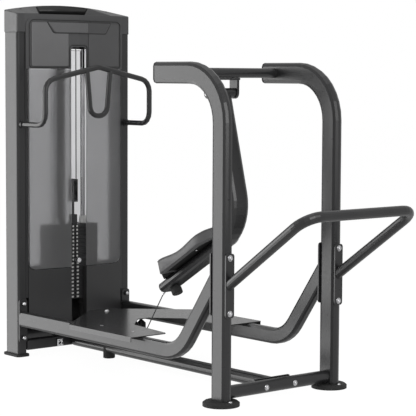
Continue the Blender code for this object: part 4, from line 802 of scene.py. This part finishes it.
def stuff(piece, look):
    # remeshed at the voxel size, blown up by cloth pressure, each point held within the cap of where it was,
    # and kept above the lowest sag of the rim; then one level of subdivision
    bpy.context.view_layer.objects.active = piece
    remesh = piece.modifiers.new("voxels", "REMESH")
    remesh.mode = "VOXEL"
    remesh.voxel_size = look["voxel"]
    bpy.context.view_layer.update()
    evaluated = piece.evaluated_get(bpy.context.evaluated_depsgraph_get())
    fresh = bpy.data.meshes.new_from_object(evaluated)
    piece.modifiers.clear()
    piece.data = fresh
    before = np.empty(len(fresh.vertices) * 3)
    fresh.vertices.foreach_get("co", before)
    before = before.reshape(-1, 3)
    after = before.copy()
    cloth = piece.modifiers.new("cloth", "CLOTH")
    cloth.settings.use_pressure = True
    cloth.settings.uniform_pressure_force = look["pressure"]
    cloth.settings.effector_weights.gravity = 0
    cloth.settings.quality = look["quality"]
    cloth.settings.mass = look["mass"]
    scene = bpy.context.scene
    for number in range(1, look["frames"] + 1):
        scene.frame_set(number)
    puffed = piece.evaluated_get(bpy.context.evaluated_depsgraph_get())
    swollen = bpy.data.meshes.new_from_object(puffed)
    flat = np.empty(len(swollen.vertices) * 3)
    swollen.vertices.foreach_get("co", flat)
    after = flat.reshape(-1, 3)
    piece.modifiers.clear()
    scene.frame_set(1)
    move = after - before
    far = np.linalg.norm(move, axis=1)[:, None]
    move *= np.minimum(1, look["cap"] / np.maximum(far, 1e-9))
    placed = before + move
    height = (placed - kickEnd) @ lifted
    placed += np.maximum(look["base"] - look["sag"] - height, 0)[:, None] * lifted
    piece.data.vertices.foreach_set("co", placed.ravel())
    piece.data.update()
    smooth = piece.modifiers.new("smooth", "SUBSURF")
    smooth.levels = smooth.render_levels = 1


foam = padShell()
stuff(foam, padLook)


def vinylFinish():
    # grained vinyl: the colour drifts slowly, and small uneven cells are raised over a softer unevenness
    mat, tree, shader = startFinish("grained upholstery vinyl with seam", specular=0.5)
    coords = addNode(tree, "ShaderNodeTexCoord").outputs["Object"]
    slow = noiseOf(tree, coords, 9.0, 4.0)
    quick = noiseOf(tree, coords, 60.0, 4.0)
    cells = addNode(tree, "ShaderNodeTexVoronoi")
    cells.inputs["Scale"].default_value = 700.0
    tree.links.new(coords, cells.inputs["Vector"])
    drift = tint(tree, spread(tree, slow, 0, 1), *shades((0.095, 0.095, 0.097), 0.08))
    tree.links.new(drift, shader.inputs["Base Color"])
    tree.links.new(spread(tree, quick, 0.40, 0.52), shader.inputs["Roughness"])
    reliefOf(tree, shader, [(quick, 0.10, 0.0006), (cells.outputs["Distance"], 0.22, 0.00018)])
    return mat


dress(foam, vinylFinish(), "arm", 60)
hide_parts("pad")
print("pad")

seamPath = padRing(-0.0004, padLook["seamShare"], 220)
seam = tubeAlong("pad_seam", seamPath, lifted, padLook["seamRadius"], 6, True)
dress(seam, finishes["pad_vinyl"], "arm", 80)

boardLook = dict(under=0.0226, noseFront=0.050, noseBack=0.126, noseHalf=0.043, backHalf=0.112, thick=0.007,
                 screws=((0.135, 0.055), (0.348, 0.068)))
b = boardLook
noseLoop = roundedLoop([(b["noseFront"], -b["noseHalf"], 0.006), (b["noseBack"], -b["backHalf"], 0.004),
                        (b["noseBack"], b["backHalf"], 0.004), (b["noseFront"], b["noseHalf"], 0.006)], 80)
noseMiddle = b["under"] + b["thick"] / 2
flatSheet("board_nose", noseLoop, [], lambda run, y: onKick(run, noseMiddle, y), b["thick"],
          finishes["board_black"], "arm")
screwPlaces = [onKick(run, b["under"], side * y) for run, y in b["screws"] for side in (-1, 1)]
bolts("board_screws", buttonHead(0.40), screwPlaces, -lifted, "arm")


# Stage: a white floor and surroundings, a tall soft light on the near left and weaker ones above and in front
stageLook = dict(
    floorColour=0.80, floorSeen=1.10, floorShare=0.88,   # share: how much of the floor glows
    worldLight=0.32, worldSeen=1.0, worldMirrored=0.66,
    reach=30,                                            # half the floor's width
)


def rayLevel(tree, plain, seen, mirrored):
    # plain for light that scatters, seen for camera and transmission rays, mirrored for glossy rays
    paths = addNode(tree, "ShaderNodeLightPath")
    direct = addNode(tree, "ShaderNodeMath", operation="MAXIMUM")
    tree.links.new(paths.outputs["Is Camera Ray"], direct.inputs[0])
    tree.links.new(paths.outputs["Is Transmission Ray"], direct.inputs[1])
    total = addNode(tree, "ShaderNodeMath", operation="ADD")
    tree.links.new(spread(tree, direct.outputs[0], plain, seen, 0, 1), total.inputs[0])
    tree.links.new(spread(tree, paths.outputs["Is Glossy Ray"], 0, mirrored - plain, 0, 1), total.inputs[1])
    return total.outputs[0]


def addStage():
    # the floor mixes a diffuse white with a glow for rays from the camera; the world is lit the same way
    r = stageLook["reach"]
    floorMesh = bpy.data.meshes.new("floor")
    floorMesh.from_pydata([(-r, -r, 0), (r, -r, 0), (r, r, 0), (-r, r, 0)], [], [(0, 1, 2, 3)])
    floor = bpy.data.objects.new("floor", floorMesh)
    bpy.context.scene.collection.objects.link(floor)
    mat = bpy.data.materials.new("white floor")
    mat.use_nodes = True
    tree = mat.node_tree
    tree.nodes.clear()
    out = addNode(tree, "ShaderNodeOutputMaterial")
    plain = addNode(tree, "ShaderNodeBsdfDiffuse")
    plain.inputs["Color"].default_value = (*[stageLook["floorColour"]] * 3, 1)
    glow = addNode(tree, "ShaderNodeEmission")
    glow.inputs["Strength"].default_value = stageLook["floorSeen"]
    mix = addNode(tree, "ShaderNodeMixShader")
    tree.links.new(rayLevel(tree, 0, stageLook["floorShare"], 0), mix.inputs["Fac"])
    tree.links.new(plain.outputs[0], mix.inputs[1])
    tree.links.new(glow.outputs[0], mix.inputs[2])
    tree.links.new(mix.outputs[0], out.inputs["Surface"])
    floorMesh.materials.append(mat)
    floor.visible_glossy = False     # mirror rays go on to the lower half of the tall lamp

    world = bpy.data.worlds.new("white studio")
    bpy.context.scene.world = world
    world.use_nodes = True
    tree = world.node_tree
    back = tree.nodes["Background"]
    back.inputs["Color"].default_value = (1, 1, 1, 1)
    level = rayLevel(tree, stageLook["worldLight"], stageLook["worldSeen"], stageLook["worldMirrored"])
    tree.links.new(level, back.inputs["Strength"])


lamps = {
    # name: place, what it faces, width, height, power in watts
    "left_softbox": ((-3.4, -3.1, 0.5), (0.0, 0.0, 0.5), 4.6, 4.6, 205.0),
    "top_softbox": ((0.2, -0.4, 4.2), (0.0, 0.0, 0.5), 3.5, 3.5, 25.0),
    "front_fill": ((4.5, -1.0, 2.2), (0.0, 0.0, 0.6), 2.5, 2.5, 80.0),
}


def addLamps():
    # each lamp's -Z points at its target
    for name, (place, target, width, height, power) in lamps.items():
        lamp = bpy.data.lights.new(name, "AREA")
        lamp.shape = "RECTANGLE"
        lamp.size, lamp.size_y, lamp.energy = width, height, power
        holder = bpy.data.objects.new(name, lamp)
        bpy.context.scene.collection.objects.link(holder)
        holder.location = place
        holder.rotation_euler = (Vector(target) - Vector(place)).to_track_quat("-Z", "Y").to_euler()
        holder.visible_camera = False


addStage()
addLamps()
bpy.context.scene.view_settings.view_transform = "Standard"
print("stage and lamps")
